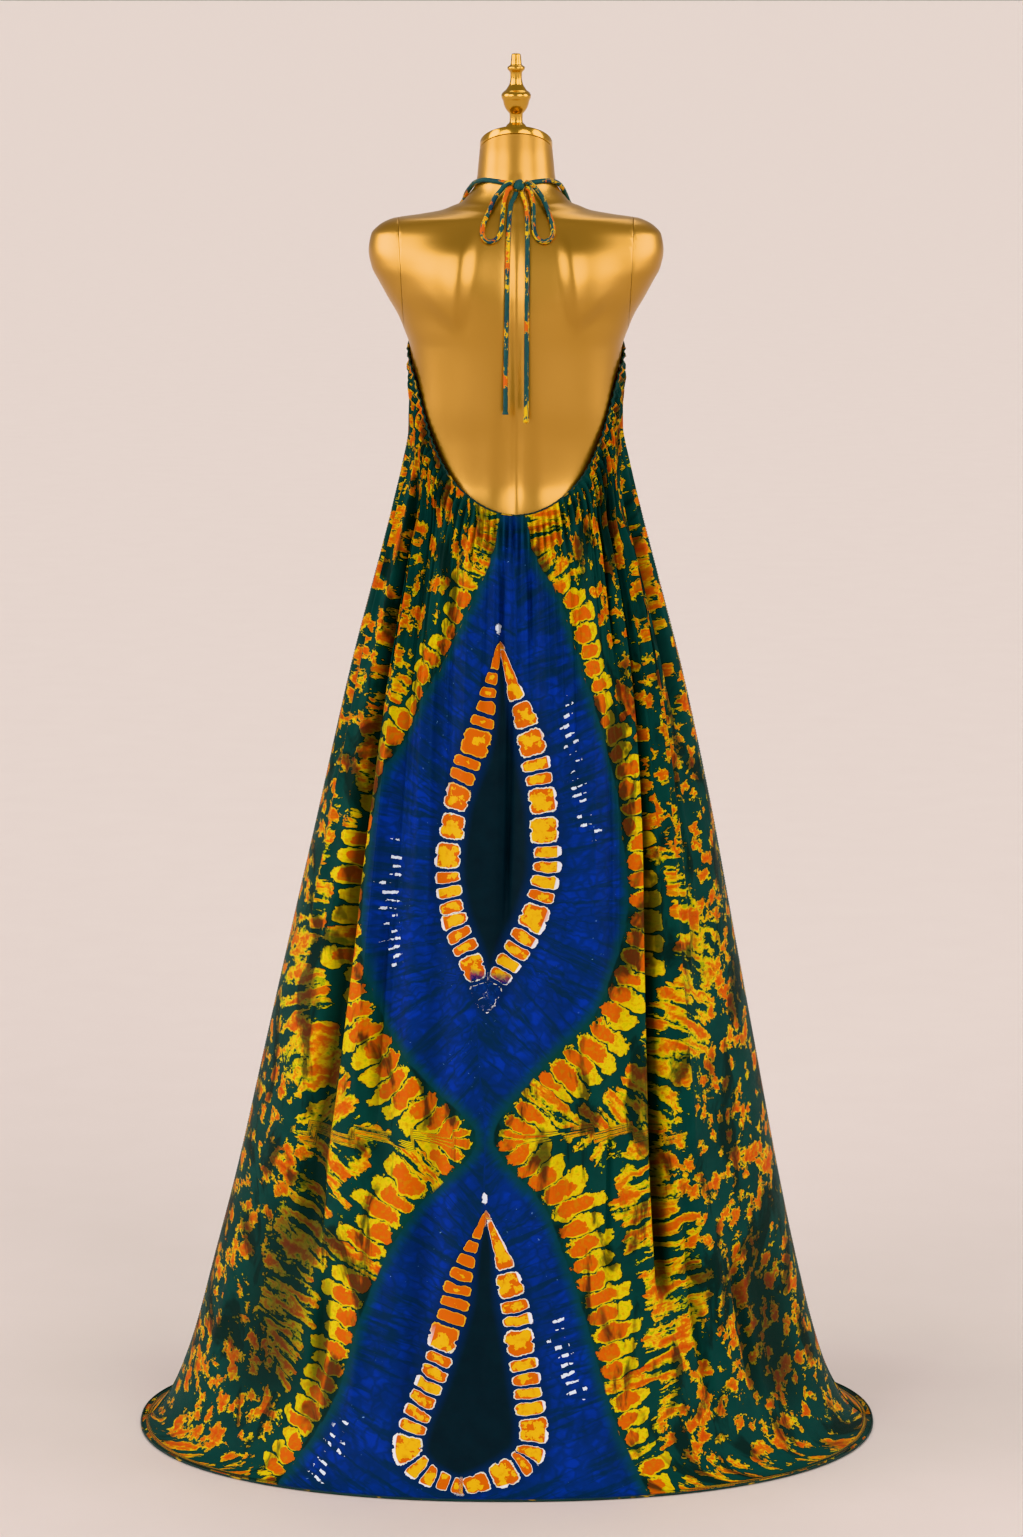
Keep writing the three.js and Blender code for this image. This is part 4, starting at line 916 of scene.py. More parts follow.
class Panel:
    def __init__(self, name, middle, edge, gathers, depth, lean, hug, reach, folds, grooves, seed):
        self.name, self.middle, self.edge, self.gathers = name, middle, edge, gathers
        self.lean, self.hug = lean, hug
        self.depth, self.reach, self.folds, self.grooves = depth, reach, folds, grooves
        chance = np.random.default_rng(seed)
        self.marks = np.arange(-gathers - 2, gathers + 3)
        self.strength = chance.uniform(0.5, 1.25, len(self.marks))
        self.length = chance.uniform(0.055, 0.19, len(self.marks))
        self.drift = chance.uniform(-0.35, 0.35, len(self.marks))
        self.slow = chance.uniform(0.0, 1.0, len(self.marks))

    def rows(self, across):
        """Places down the cloth, row by row, for each place across it."""
        top, _ = self.edge(np.abs(across))
        first = [top + distance for distance in BELOW_EDGE]
        start, end = top + BELOW_EDGE[-1], HEM - ABOVE_HEM[0]
        middle = [start + (end - start) * share for share in np.linspace(0, 1, MIDDLE_ROWS + 2)[1:-1]]
        last = [np.full(len(across), HEM - height) for height in ABOVE_HEM]
        return np.array(first + middle + last)

    def points(self, across, place):
        """Points of the panel's outside, the way out from each, and the same before any gather or fold."""
        share = np.abs(across)
        top, spread_at_top = self.edge(share)
        down = (place - top) / (HEM - top)
        # every fold meanders a little on its way down
        sway = 0.02 * np.sin(9 * across + 4.5 * place) * smooth(0.02, 0.3, place - top) * (1 - share ** 2)
        share_below = np.clip(share + np.sign(across) * sway, 0, 1)
        hem_spread = 90 * (0.55 * share_below + 0.45 * share_below ** 4)
        spread = spread_at_top + (hem_spread - spread_at_top) * (1 - (1 - down) ** 2)
        degrees = self.middle + np.sign(across) * spread
        plain = dress.point(degrees, place)
        out = dress.out(degrees, place)
        below = place - top
        # a gather leaves its edge squarely and then turns downwards
        lean = self.lean * smooth(0.08, 0.55, share) * (1 - np.exp(-np.maximum(below, 0) / 0.028))
        mark = (across - np.sign(across) * lean) * self.gathers
        columns = (self.strength, self.length, self.drift, self.slow)
        strength, length, drift, slow = (np.interp(mark, self.marks, column) for column in columns)
        swell = 0.35 + 0.65 * smooth(0, 0.022, below)
        free = 1 - smooth(0.022, length, below)
        held = 1 - smooth(self.reach - 0.08, self.reach + 0.01, share) if self.reach < 1 else 1
        wave = np.cos(math.pi * (mark + drift * smooth(0.0, 0.09, below)))
        crest = np.sign(wave) * np.abs(wave) ** 0.8
        crisp = 1 + 0.4 * (1 - smooth(0.6, 0.85, share))
        ruffle = crisp * self.depth * strength * swell * free * held * (crest + 0.5)
        pinch = -0.0009 * bump(below - 0.022, 0.0022) * held
        wide = np.cos(math.pi * (mark * 0.5 + 1.6 * slow)) * smooth(0.03, 0.09, below)
        wide = wide * (1 - smooth(0.16, 0.2 + 0.26 * slow, below)) * 0.0016 * held
        quiet = 1 - smooth(0.9, 1, share)
        height = plain[..., 2]
        # the elastic draws the open back's sides in towards the form
        drawn_in = self.hug * (1 - smooth(0, 0.06, below))
        drawn_in = drawn_in * smooth(0.16, 0.4, share) * (1 - smooth(0.72, 0.92, share))
        folded = 0
        for at, breadth, depth, high, low in self.folds:
            fade = (1 - smooth(high - 0.11, high, height)) * smooth(low, low + 0.09, height)
            folded = folded + quiet * fade * depth * bump(across - at, breadth)
        for at, breadth, depth, high, low in self.grooves:
            fade = (1 - smooth(high - 0.11, high, height)) * smooth(low, low + 0.11, height)
            folded = folded + fade * depth * np.exp(-(((across - at) / breadth) ** 4))
        # painted shade: how deep each point lies in a fold's valley or a gather's trough, which the cloth's
        # finish paints darker
        trough = smooth(0.1, 0.9, -wave) * free * held * smooth(0.016, 0.024, below)
        self.valley = np.maximum(smooth(0.003, 0.017, -folded), 0.75 * trough)
        return plain + out * (ruffle + pinch + wide + folded - drawn_in)[..., None], out, plain


def upper_back(share):
    along = share * (0.8 + 0.2 * share * share)
    return BACK_EDGE[0](along), BACK_EDGE[1](along)


def upper_front(share):
    neck, arm = np.minimum(share * 1.5, 1), np.clip(share * 3 - 2, 0, 1)
    gathered = share <= 2 / 3
    return (np.where(gathered, NECK_EDGE[0](neck), ARMHOLE_EDGE[0](arm)),
            np.where(gathered, NECK_EDGE[1](neck), ARMHOLE_EDGE[1](arm)))


BACK = Panel(
    "back_cloth", 0, upper_back, gathers=60, depth=0.003, lean=0.11, hug=0.0036, reach=1,
    folds=BACK_FOLDS + BACK_CREASES, grooves=BACK_GROOVES, seed=5,
)
FRONT = Panel(
    "front_cloth", 180, upper_front, gathers=30, depth=0.0024, lean=0, hug=0, reach=2 / 3,
    folds=FRONT_FOLDS + FRONT_CREASES, grooves=FRONT_GROOVES, seed=9,
)
CLOTH_THICKNESS = 0.0011
# Where the front's stars start in the pattern, so that they aren't the back's mirrored
FRONT_PATTERN_START = 3.7


def hang(panel, columns, node):
    """A panel as a thin shell: fine columns near its gathers, every second one below them."""
    even = np.linspace(-1, 1, 4001)
    narrow = [fold for fold in panel.folds + panel.grooves if fold[1] < 0.02]
    crowd = 1 + sum(1.2 * bump(even - at, 1.6 * breadth) for at, breadth, *_ in narrow)
    half = np.concatenate([[0], np.cumsum((crowd[1:] + crowd[:-1]) / 2)])
    across = np.interp(np.linspace(0, half[-1], columns + 1), half, even)
    place = panel.rows(across)
    points, out, plain = panel.points(across[None, :] + 0 * place, place)
    points[:, [0, -1], 1] += 0.00015 * (-1 if panel.middle == 0 else 1)
    points[..., 2] = np.maximum(points[..., 2], 0.0011)
    steps = np.linalg.norm(np.diff(plain, axis=1), axis=2)
    arc = np.concatenate([np.zeros((len(place), 1)), np.cumsum(steps, axis=1)], 1)
    arc = arc - np.array([[np.interp(0, across, line)] for line in arc])
    # the dyer's stars are drawn wider towards the side seams
    facing = np.abs(out[:, 1:, 1] + out[:, :-1, 1]) / 2
    drawn = np.concatenate([np.zeros((len(place), 1)), np.cumsum(steps * (0.5 + 0.5 * facing), axis=1)], 1)
    drawn = drawn - np.array([[np.interp(0, across, line)] for line in drawn])
    if panel.middle == 180:
        arc, drawn = -arc, FRONT_PATTERN_START - drawn
    gathered = 1 - smooth(0.02, 0.24, place - place[0])
    number = -np.ones(place.shape, int)
    keep = np.ones(place.shape, bool)
    keep[FINE_ROWS + 1:, 1::2] = False
    number[keep] = np.arange(keep.sum())
    faces = []
    for r in range(len(place) - 1):
        step = 1 if r < FINE_ROWS else 2
        for c in range(0, columns, step):
            a, b = number[r, c], number[r, c + step]
            d, e = number[r + 1, c], number[r + 1, c + step]
            m = number[r, c + 1]
            faces += [(a, d, m), (m, d, e), (m, e, b)] if r == FINE_ROWS else [(a, d, e, b)]
    uv = np.stack([drawn, -place], -1)[keep]
    thing = mesh_of(panel.name, points[keep], faces, MEDALLION_CLOTH, uv)
    marks = medallion_marks(arc[keep], place[keep])
    marks["gathered"] = gathered[keep]
    # the painted shade of the folds' valleys and the gathers' troughs goes to the cloth as a point attribute
    marks["valley"] = panel.valley[keep]
    for name, values in marks.items():
        attribute = thing.data.attributes.new(name, "FLOAT", "POINT")
        attribute.data.foreach_set("value", values.astype(np.float32))
    wall = thing.modifiers.new("wall", "SOLIDIFY")
    wall.thickness = CLOTH_THICKNESS
    wall.offset = -1
    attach(thing, "root")
    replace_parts(thing, node)


hang(BACK, 480, "back_panel")
hang(FRONT, 360, "front_panel")


# Edges and seams.
# The open back's edge is turned over a narrow elastic, and the hem and armholes are rolled by hand.
# Teal thread runs along the channel's lower side, above the hem, down the side seams and along the rolls.
def tube(name, path, radius, finish, sides=12, ends=True, first=0.0):
    """A round body along a path, with a radius for each of its points and its own flat map."""
    path = np.asarray(path, float)
    radius = np.broadcast_to(radius, len(path))
    along = np.gradient(path, axis=0)
    along /= np.linalg.norm(along, axis=1, keepdims=True)
    side = np.cross(along[0], (0.31, 0.17, 0.93))
    frames = []
    for direction in along:
        side = side - direction * (side @ direction)
        side = side / np.linalg.norm(side)
        frames.append((side, np.cross(direction, side)))
    turn = np.linspace(0, 2 * math.pi, sides, endpoint=False)
    rings = np.array([
        middle + r * (np.cos(turn)[:, None] * a + np.sin(turn)[:, None] * b)
        for middle, r, (a, b) in zip(path, radius, frames)
    ])
    run = np.concatenate([[0], np.cumsum(np.linalg.norm(np.diff(path, axis=0), axis=1))])
    points = rings.reshape(-1, 3)
    uv = np.stack([first + np.repeat(run, sides), np.tile(turn * float(radius.mean()), len(path))], 1)
    faces = ring_faces(len(path), sides)
    if ends:
        faces.append(tuple(range(sides))[::-1])
        faces.append(tuple(len(points) - sides + i for i in range(sides)))
    return mesh_of(name, points, faces, finish, uv)


def edge_path(panel, across, below):
    """A line over a panel's outside at one distance below its edge, with the way out at each point."""
    top, _ = panel.edge(np.abs(across))
    points, out, _ = panel.points(across, top + below)
    return points, out


def plain_cloth():
    dark = Finish("turned_edge_cloth")
    cut = dark.node("ShaderNodeUVMap", {"uv_map": "Cut"})
    tone = dark.noise(cut, 60, 3, 0.6)
    blot = dark.step(dark.noise(cut, 26, 3, 0.6, 0.4), 0.6, 0.66)
    colour = dark.mix(tone, (0.003, 0.016, 0.018), (0.006, 0.045, 0.042))
    colour = dark.mix(blot * 0.8, colour, (0.55, 0.3, 0.004))
    twisted = {"Vector": cut, "Scale": 260, "Distortion": 1.5}
    twist = dark.node("ShaderNodeTexWave", {"bands_direction": "X"}, twisted)
    relief = dark.node("ShaderNodeBump", {}, {"Strength": 0.3, "Distance": 0.0005, "Height": twist})
    return dark.finished(Base_Color=colour, Roughness=0.7 + tone * 0.15, Normal=relief, Sheen_Weight=0.1)


EDGE_CLOTH = plain_cloth()


ROLL_RADIUS = 0.0013


def roll(name, panel, low, high, steps):
    path, out = edge_path(panel, np.linspace(low, high, steps), 0.0006)
    return tube(name, path - out * 0.0006, ROLL_RADIUS, EDGE_CLOTH, 8)


def hem_roll(name, panel):
    across = np.linspace(-1, 1, 520)
    points, _, _ = panel.points(across, np.full(520, HEM - 0.0008))
    points[:, 2] = ROLL_RADIUS
    return tube(name, points, ROLL_RADIUS, EDGE_CLOTH, 8)


edge_pieces = [
    roll("back_edge_roll", BACK, -0.998, 0.998, 900),
    roll("left_armhole_roll", FRONT, -0.998, -0.672, 160),
    roll("right_armhole_roll", FRONT, 0.672, 0.998, 160),
    hem_roll("back_hem_roll", BACK),
    hem_roll("front_hem_roll", FRONT),
]


def thread_finish():
    thread = Finish("teal_thread")
    place = thread.object_place()
    twist = thread.noise(place, 1800, 2)
    colour = thread.mix(twist, (0.004, 0.03, 0.03), (0.012, 0.08, 0.072))
    return thread.finished(Base_Color=colour, Roughness=0.55 + twist * 0.15)


def stitch_tree():
    """Geometry nodes that lay small stitches along a line of points."""
    tree = bpy.data.node_groups.new("stitch_row", "GeometryNodeTree")
    tree.interface.new_socket("Geometry", in_out="INPUT", socket_type="NodeSocketGeometry")
    sockets = {}
    for name, value in (("Pitch", 0.003), ("Stitch Length", 0.0021), ("Thread Radius", 0.00032)):
        socket = tree.interface.new_socket(name, in_out="INPUT", socket_type="NodeSocketFloat")
        socket.default_value = value
        sockets[name] = socket.identifier
    socket = tree.interface.new_socket("Thread", in_out="INPUT", socket_type="NodeSocketMaterial")
    sockets["Thread"] = socket.identifier
    tree.interface.new_socket("Geometry", in_out="OUTPUT", socket_type="NodeSocketGeometry")

    def add(kind, settings=None, **values):
        made = tree.nodes.new(kind)
        for name, setting in (settings or {}).items():
            setattr(made, name, setting)
        for name, value in values.items():
            if isinstance(value, bpy.types.NodeSocket):
                tree.links.new(value, made.inputs[name])
            else:
                made.inputs[name].default_value = value
        return made

    given = add("NodeGroupInput").outputs
    line = add("GeometryNodeMeshToCurve", Mesh=given["Geometry"])
    even = add("GeometryNodeResampleCurve", {"mode": "LENGTH"},
               Curve=line.outputs["Curve"], Length=given["Pitch"])
    tangent = add("GeometryNodeInputTangent")
    turn = add("FunctionNodeAlignRotationToVector", {"axis": "Z"}, Vector=tangent.outputs[0])
    wobble = add("FunctionNodeRandomValue", {"data_type": "FLOAT"}, Seed=11)
    low, high = [s for s in wobble.inputs if s.type == "VALUE"][:2]
    low.default_value, high.default_value = 0.85, 1.1
    bead = add("GeometryNodeMeshUVSphere", Segments=6, Rings=4, Radius=1)
    half = add("ShaderNodeMath", {"operation": "MULTIPLY"})
    half.inputs[1].default_value = 0.5
    tree.links.new(given["Stitch Length"], half.inputs[0])
    size = add("ShaderNodeCombineXYZ", X=given["Thread Radius"], Y=given["Thread Radius"], Z=half.outputs[0])
    shape = add("GeometryNodeTransform", Geometry=bead.outputs["Mesh"], Scale=size.outputs[0])
    size_of_each = next(s for s in wobble.outputs if s.type == "VALUE")
    place = add("GeometryNodeInstanceOnPoints", Points=even.outputs["Curve"],
                Instance=shape.outputs["Geometry"], Rotation=turn.outputs["Rotation"], Scale=size_of_each)
    real = add("GeometryNodeRealizeInstances", Geometry=place.outputs["Instances"])
    paint = add("GeometryNodeSetMaterial", Geometry=real.outputs["Geometry"], Material=given["Thread"])
    add("NodeGroupOutput", Geometry=paint.outputs["Geometry"])
    return tree, sockets


THREAD = thread_finish()
STITCHES, STITCH_SOCKETS = stitch_tree()
THREAD_RADIUS = 0.0003


def sew(name, path, pitch, length):
    """A row of stitches along a path, as one plain mesh."""
    mesh = bpy.data.meshes.new(name + "_line")
    mesh.from_pydata([tuple(p) for p in path], [(i, i + 1) for i in range(len(path) - 1)], [])
    line = bpy.data.objects.new(name + "_line", mesh)
    bpy.context.collection.objects.link(line)
    modifier = line.modifiers.new("stitches", "NODES")
    modifier.node_group = STITCHES
    given = {"Pitch": pitch, "Stitch Length": length, "Thread Radius": THREAD_RADIUS, "Thread": THREAD}
    for socket, value in given.items():
        modifier[STITCH_SOCKETS[socket]] = value
    bpy.context.view_layer.update()
    evaluated = line.evaluated_get(bpy.context.evaluated_depsgraph_get())
    sewn = bpy.data.meshes.new_from_object(evaluated)
    bpy.data.objects.remove(line)
    sewn.name = name
    sewn.polygons.foreach_set("use_smooth", [True] * len(sewn.polygons))
    thing = bpy.data.objects.new(name, sewn)
    bpy.context.collection.objects.link(thing)
    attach(thing, "root")


def row_below(panel, low, high, below, steps):
    points, out = edge_path(panel, np.linspace(low, high, steps), below)
    return points + out * 0.0002


def row_above_hem(panel, above, steps):
    across = np.linspace(-0.998, 0.998, steps)
    points, out, _ = panel.points(across, np.full(steps, HEM - above))
    points[:, 2] = np.maximum(points[:, 2], 0.0011)
    return points + out * 0.0002


def row_down_seam(panel, side, inset, steps):
    across = np.full(steps, side * (1 - inset))
    top, _ = panel.edge(np.abs(across))
    places = top + (HEM - 0.002 - top) * np.linspace(0.004, 1, steps)
    points, out, _ = panel.points(across, places)
    points[:, 2] = np.maximum(points[:, 2], 0.0011)
    return points + out * 0.0002


sew("back_channel_stitches", row_below(BACK, -0.99, 0.99, 0.022, 1400), 0.003, 0.0021)
sew("back_hem_stitches", row_above_hem(BACK, 0.0065, 500), 0.0042, 0.0028)
sew("front_hem_stitches", row_above_hem(FRONT, 0.0065, 500), 0.0042, 0.0028)
sew("left_armhole_stitches", row_below(FRONT, -0.99, -0.69, 0.0055, 200), 0.003, 0.0021)
sew("right_armhole_stitches", row_below(FRONT, 0.69, 0.99, 0.0055, 200), 0.003, 0.0021)
sew("left_seam_stitches", row_down_seam(BACK, -1, 0.006, 400), 0.0036, 0.0024)
sew("right_seam_stitches", row_down_seam(BACK, 1, 0.006, 400), 0.0036, 0.0024)
for piece in edge_pieces:
    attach(piece, "root")


# Neck channel.
# The front's neck is turned over into a channel that the halter cord runs through.
# It is pushed together on the cord, so it ruffles all the way.
def casing_line(steps):
    across = np.linspace(-2 / 3, 2 / 3, steps)
    top, spread = FRONT.edge(np.abs(across))
    degrees = 180 + np.sign(across) * spread
    out = dress.out(degrees, top)
    edge = dress.point(degrees, top) - out * 0.00075
    tangent = np.gradient(edge, axis=0)
    tangent /= np.linalg.norm(tangent, axis=1, keepdims=True)
    up = np.cross(out, tangent)
    up /= np.linalg.norm(up, axis=1, keepdims=True)
    up *= np.sign(up[:, 2:3])
    return across, edge + up * 0.0073, tangent, up


def channel():
    steps, sides = 321, 20
    across, middle, tangent, up = casing_line(steps)
    wave = np.cos(math.pi * across * 30)
    chance = np.random.default_rng(3)
    uneven = np.interp(across * 30, np.arange(-22, 23), chance.uniform(0.6, 1.2, 45))
    outer = 0.0062 + 0.0008 * wave * uneven
    aside = np.cross(tangent, up)
    turn = np.linspace(0, 2 * math.pi, sides, endpoint=False)
    circle = np.cos(turn)[None, :, None] * up[:, None, :] + np.sin(turn)[None, :, None] * aside[:, None, :]
    outside = middle[:, None, :] + circle * outer[:, None, None]
    inside = middle[:, None, :] + circle * (0.0045 + 0.0003 * wave)[:, None, None]
    points = np.concatenate([outside.reshape(-1, 3), inside.reshape(-1, 3)])
    half = steps * sides
    faces = ring_faces(steps, sides)
    faces += [tuple(half + i for i in face[::-1]) for face in faces]
    for i in range(sides):
        j = (i + 1) % sides
        last = (steps - 1) * sides
        faces.append((j, i, half + i, half + j))
        faces.append((last + i, last + j, half + last + j, half + last + i))
    run = np.concatenate([[0], np.cumsum(np.linalg.norm(np.diff(middle, axis=0), axis=1))])
    uv = np.stack([np.repeat(run * 1.8, sides), np.tile(turn * 0.006, steps)], 1)
    made = mesh_of("neck_channel", points, faces, NARROW_CLOTH, np.vstack([uv, uv]))
    body = bmesh.new()
    body.from_mesh(made.data)
    bmesh.ops.recalc_face_normals(body, faces=body.faces)
    body.to_mesh(made.data)
    body.free()
    return made


neck_channel = channel()
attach(neck_channel, "root")
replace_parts(neck_channel, "neck_casing")


# Halter cord and bow.
# A narrow tube of the same cloth, turned through and soft: it runs through the channel and round the neck.
# It is tied in a small bow at the nape, and its two ends hang down the back.
CORD_RADIUS = 0.0031
NECK_LEFT = [
    (-4.9, 1.6536, 0.004), (-16, 1.655, 0.0038), (-30, 1.657, 0.0038), (-46, 1.658, 0.0038),
    (-60, 1.656, 0.0038), (-73, 1.653, 0.0038), (-86, 1.647, 0.0038), (-99, 1.638, 0.0039),
    (-111, 1.626, 0.0044), (-121, 1.6125, 0.0065),
]
NECK_RIGHT = [
    (12.3, 1.6536, 0.004), (24, 1.6555, 0.0038), (37, 1.657, 0.0038), (50, 1.657, 0.0038),
    (64, 1.655, 0.0038), (78, 1.651, 0.0038), (91, 1.645, 0.0038), (103, 1.636, 0.0039),
    (114, 1.624, 0.0044), (122, 1.6115, 0.0065),
]
LOOP_LEFT = [
    (-0.0048, 1.6566, 0.0112), (-0.008, 1.6564, 0.0116), (-0.014, 1.653, 0.0112), (-0.02, 1.646, 0.0102),
    (-0.027, 1.637, 0.0086), (-0.0325, 1.625, 0.007), (-0.038, 1.613, 0.0058), (-0.0423, 1.602, 0.0048),
    (-0.0433, 1.592, 0.0042), (-0.04, 1.585, 0.004), (-0.033, 1.582, 0.004), (-0.0255, 1.585, 0.004),
    (-0.0205, 1.592, 0.0042), (-0.0182, 1.603, 0.0048), (-0.0172, 1.617, 0.006), (-0.0156, 1.63, 0.0078),
    (-0.013, 1.6415, 0.0096), (-0.009, 1.6486, 0.0098), (-0.0048, 1.6494, 0.0096),
]
LOOP_RIGHT = [
    (0.0121, 1.6566, 0.0112), (0.0152, 1.6564, 0.0116), (0.021, 1.6526, 0.0112), (0.027, 1.646, 0.0102),
    (0.0335, 1.6365, 0.0086), (0.039, 1.6245, 0.007), (0.0438, 1.612, 0.0058), (0.0468, 1.6005, 0.0048),
    (0.0466, 1.5915, 0.0042), (0.0426, 1.5848, 0.004), (0.0358, 1.582, 0.004), (0.0286, 1.585, 0.004),
    (0.0238, 1.592, 0.0042), (0.022, 1.603, 0.0048), (0.022, 1.617, 0.006), (0.0214, 1.63, 0.0078),
    (0.0194, 1.6415, 0.0096), (0.016, 1.6486, 0.0098), (0.0121, 1.6494, 0.0096),
]
TAIL_LEFT = [
    (-0.0002, 1.6447, 0.0072), (-0.0005, 1.642, 0.0068), (-0.0028, 1.6365, 0.008), (-0.0062, 1.63, 0.0086),
    (-0.0082, 1.618, 0.0066), (-0.0094, 1.6, 0.0046), (-0.0102, 1.575, 0.0039), (-0.011, 1.545, 0.0038),
    (-0.0116, 1.51, 0.0037), (-0.0122, 1.48, 0.0037), (-0.0128, 1.45, 0.005), (-0.0133, 1.415, 0.0088),
    (-0.0136, 1.385, 0.012), (-0.0138, 1.363, 0.0142),
]
TAIL_RIGHT = [
    (0.0074, 1.6447, 0.0072), (0.0077, 1.642, 0.0068), (0.01, 1.6365, 0.008), (0.013, 1.628, 0.0086),
    (0.0142, 1.614, 0.006), (0.0144, 1.592, 0.0044), (0.0142, 1.562, 0.0038), (0.0139, 1.526, 0.0037),
    (0.0136, 1.49, 0.0037), (0.0133, 1.455, 0.0048), (0.0131, 1.42, 0.0084), (0.0129, 1.385, 0.012),
    (0.0127, 1.351, 0.0154),
]
KNOT = (0.0036, 1.6531, 0.0094)


def smooth_route(points):
    """A centripetal curve through a cord's points, at an even spacing."""
    spacing = 0.0016
    points = np.asarray(points, float)
    ends = [2 * points[0] - points[1], 2 * points[-1] - points[-2]]
    full = np.vstack([ends[0], points, ends[1]])
    gaps = np.maximum(np.linalg.norm(np.diff(full, axis=0), axis=1) ** 0.5, 1e-4)
    dense = []
    for i in range(len(points) - 1):
        p0, p1, p2, p3 = full[i:i + 4]
        t1, t2, t3 = np.cumsum(gaps[i:i + 3])
        for t in np.linspace(t1, t2, 24, endpoint=False):
            a1 = p0 + (p1 - p0) * t / t1
            a2 = p1 + (p2 - p1) * (t - t1) / (t2 - t1)
            a3 = p2 + (p3 - p2) * (t - t2) / (t3 - t2)
            b1 = a1 + (a2 - a1) * t / t2
            b2 = a2 + (a3 - a2) * (t - t1) / (t3 - t1)
            dense.append(b1 + (b2 - b1) * (t - t1) / (t2 - t1))
    dense.append(points[-1])
    dense = np.array(dense)
    run = np.concatenate([[0], np.cumsum(np.linalg.norm(np.diff(dense, axis=0), axis=1))])
    even = np.linspace(0, run[-1], max(8, int(run[-1] / spacing)))
    return np.stack([np.interp(even, run, dense[:, k]) for k in range(3)], 1), float(run[-1])


def cord_cloth():
    """The dyed cloth as it shows on so narrow a tube: short stretches of teal, orange and yellow."""
    cord = Finish("cord_cloth")
    cut = cord.node("ShaderNodeUVMap", {"uv_map": "Cut"})
    stretched = cord.node("ShaderNodeMapping", {}, {"Vector": cut, "Scale": (1, 1.6, 1)})
    stretch = cord.noise(stretched, 14, 2, 0.5, 0.3)
    patch = cord.noise(stretched, 95, 3, 0.6, 0.5) * 0.45 + stretch * 0.55
    second = cord.noise(stretched, 30, 2, 0.5, 0.3)
    tone = cord.noise(cut, 160, 3)
    teal = cord.mix(tone, (0.004, 0.034, 0.046), (0.01, 0.095, 0.09))
    colour = cord.mix(cord.step(second, 0.58, 0.64), teal, (0.002, 0.04, 0.075))
    colour = cord.mix(cord.step(patch, 0.526, 0.534), colour, (0.64, 0.4, 0.003))
    colour = cord.mix(cord.step(patch + second * 0.3, 0.712, 0.735), colour, (0.54, 0.1, 0.002))
    wrinkle = cord.noise(cord.node("ShaderNodeMapping", {}, {"Vector": cut, "Scale": (260, 120, 1)}), 1, 3)
    relief = cord.node("ShaderNodeBump", {}, {"Strength": 0.45, "Distance": 0.0006, "Height": wrinkle})
    return cord.finished(Base_Color=colour, Roughness=0.66 + tone * 0.12, Normal=relief, Sheen_Weight=0.1)


CORD_CLOTH = cord_cloth()


def cord_piece(name, node, points, end_shape=None):
    path, length = smooth_route(points)
    run = np.linspace(0, length, len(path))
    chance = np.random.default_rng(len(path))
    uneven = np.interp(run, np.linspace(0, length, 40), chance.uniform(-0.00012, 0.00012, 40))
    radius = CORD_RADIUS + uneven
    if end_shape is not None:
        radius = radius * end_shape(length - run)
    thing = tube(name, path, radius, CORD_CLOTH, 14, first=0.01 * len(path))
    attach(thing, "root")
    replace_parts(thing, node)
    return thing, path, length


def flared(left):
    """The left end is cut straight and spreads a little past its knot of thread."""
    return 1 + 0.28 * bump(left, 0.0022) - 0.1 * bump(left - 0.006, 0.0018)


def rounded(left):
    """The right end is knotted into a small round bead."""
    bead = 0.32 * bump(left - 0.004, 0.0038)
    return (1 + bead) * np.sqrt(np.clip(1 - np.clip(1 - left / 0.0035, 0, 1) ** 2, 0.02, 1))


def across_back(rows):
    across, height, lift = np.array(rows).T
    return on_back(across, height, lift)


def round_neck(rows):
    angle, height, lift = np.array(rows).T
    return on_form(angle, height, lift)


_, casing_middle, _, _ = casing_line(41)
inside = casing_middle[::4]
if inside[0, 0] < 0:
    inside = inside[::-1]
halter_route = np.vstack([round_neck(NECK_RIGHT), inside, round_neck(NECK_LEFT)[::-1]])
cord_piece("halter_cord", "neck_cord", halter_route)

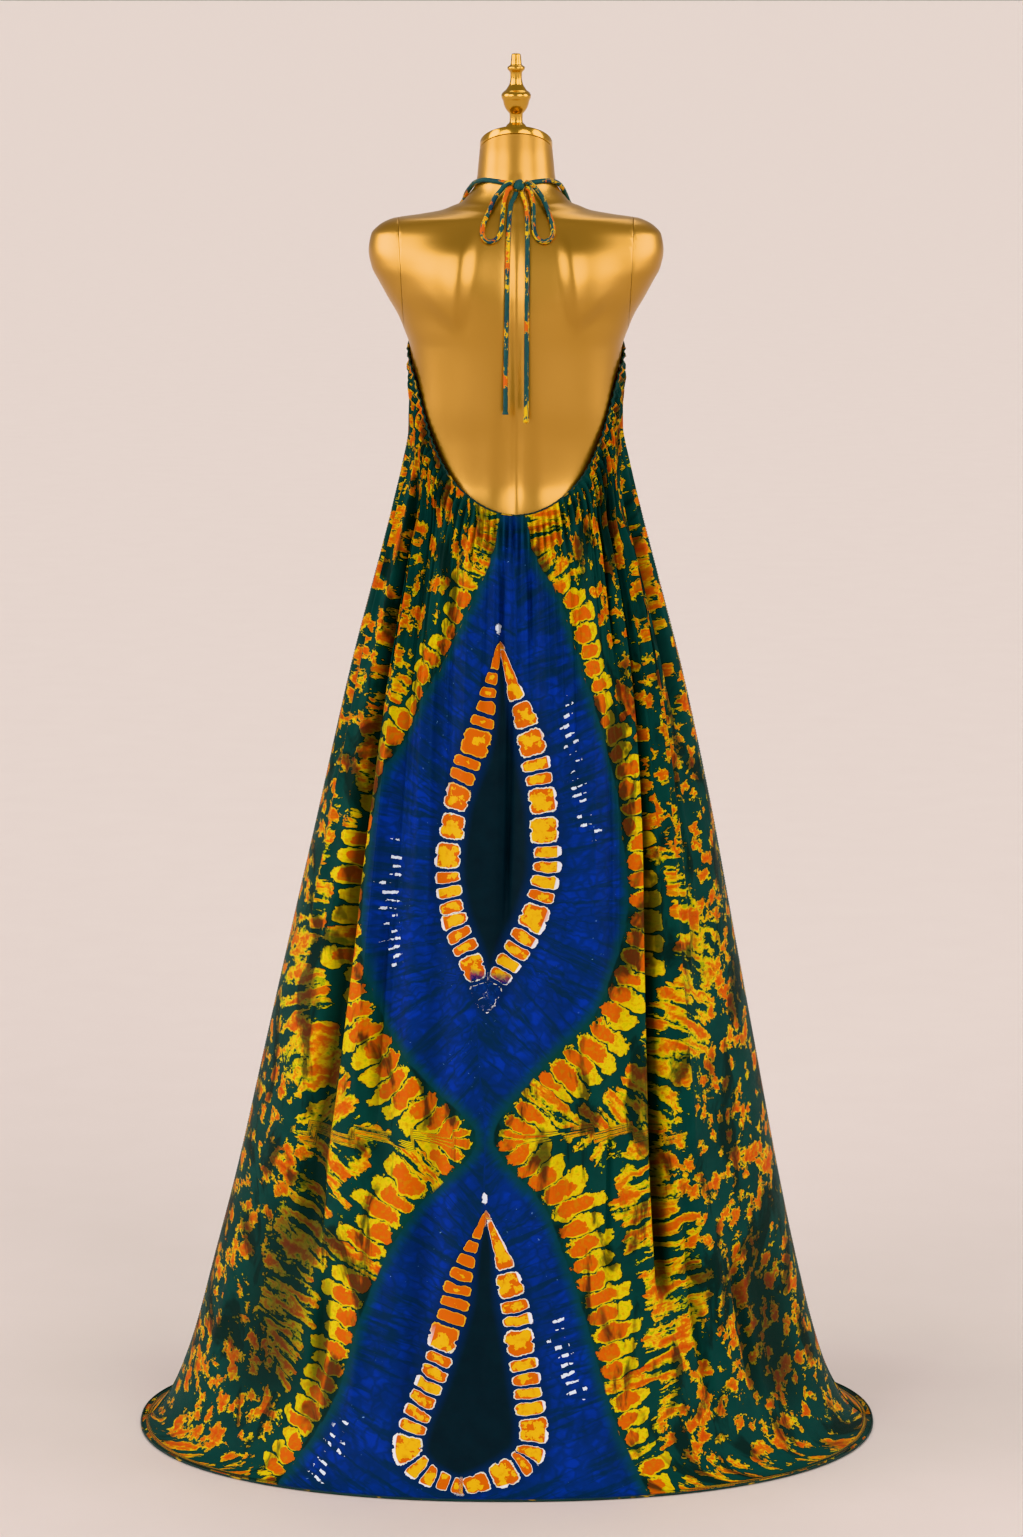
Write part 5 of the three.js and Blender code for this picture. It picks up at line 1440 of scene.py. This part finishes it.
for name, node, rows, far_end, shape in (
    ("left_bow_loop", "bow_loop_left", LOOP_LEFT, "object", None),
    ("right_bow_loop", "bow_loop_right", LOOP_RIGHT, "object", None),
    ("left_cord_end", "tie_tail_left", TAIL_LEFT, "bare", flared),
    ("right_cord_end", "tie_tail_right", TAIL_RIGHT, "knot", rounded),
):
    thing, path, length = cord_piece(name, node, across_back(rows), shape)


def knot_body():
    """The bow's knot: a puffed core with a band of the cord laid over it from side to side."""
    x, y, z = on_back(*KNOT)
    body = bmesh.new()
    bmesh.ops.create_uvsphere(body, u_segments=40, v_segments=24, radius=1)
    for corner in body.verts:
        a, b, c = corner.co
        crease = 1 - 0.1 * math.exp(-((a - 0.25) / 0.16) ** 2) - 0.1 * math.exp(-((a + 0.35) / 0.16) ** 2)
        corner.co = (x + 0.0072 * a * (1 - 0.12 * c), y + 0.0058 * b * crease, z + 0.0073 * c * crease)
    mesh = bpy.data.meshes.new("knot_core")
    body.to_mesh(mesh)
    body.free()
    turn = np.linspace(0, 2 * math.pi, 60)
    band = np.stack([x + 0.0016 * np.sin(turn), y + 0.0038 * np.cos(turn), z + 0.0048 * np.sin(turn)], 1)
    wrap = tube("knot_wrap", band, 0.0026 + 0.0002 * np.cos(5 * turn), CORD_CLOTH, 14, ends=False)
    core = bpy.data.objects.new("bow_middle", mesh)
    bpy.context.collection.objects.link(core)
    joined = bmesh.new()
    joined.from_mesh(mesh)
    joined.from_mesh(wrap.data)
    bpy.data.objects.remove(wrap)
    bmesh.ops.remove_doubles(joined, verts=joined.verts, dist=1e-6)
    layer = joined.loops.layers.uv.verify()
    for face in joined.faces:
        face.smooth = True
        for loop in face.loops:
            loop[layer].uv = (loop.vert.co.z * 1.0 + 0.37, loop.vert.co.x)
    joined.to_mesh(mesh)
    joined.free()
    mesh.uv_layers[0].name = "Cut"
    mesh.materials.clear()
    mesh.materials.append(CORD_CLOTH)
    return core


knot = knot_body()
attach(knot, "root")
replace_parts(knot, "bow_knot")
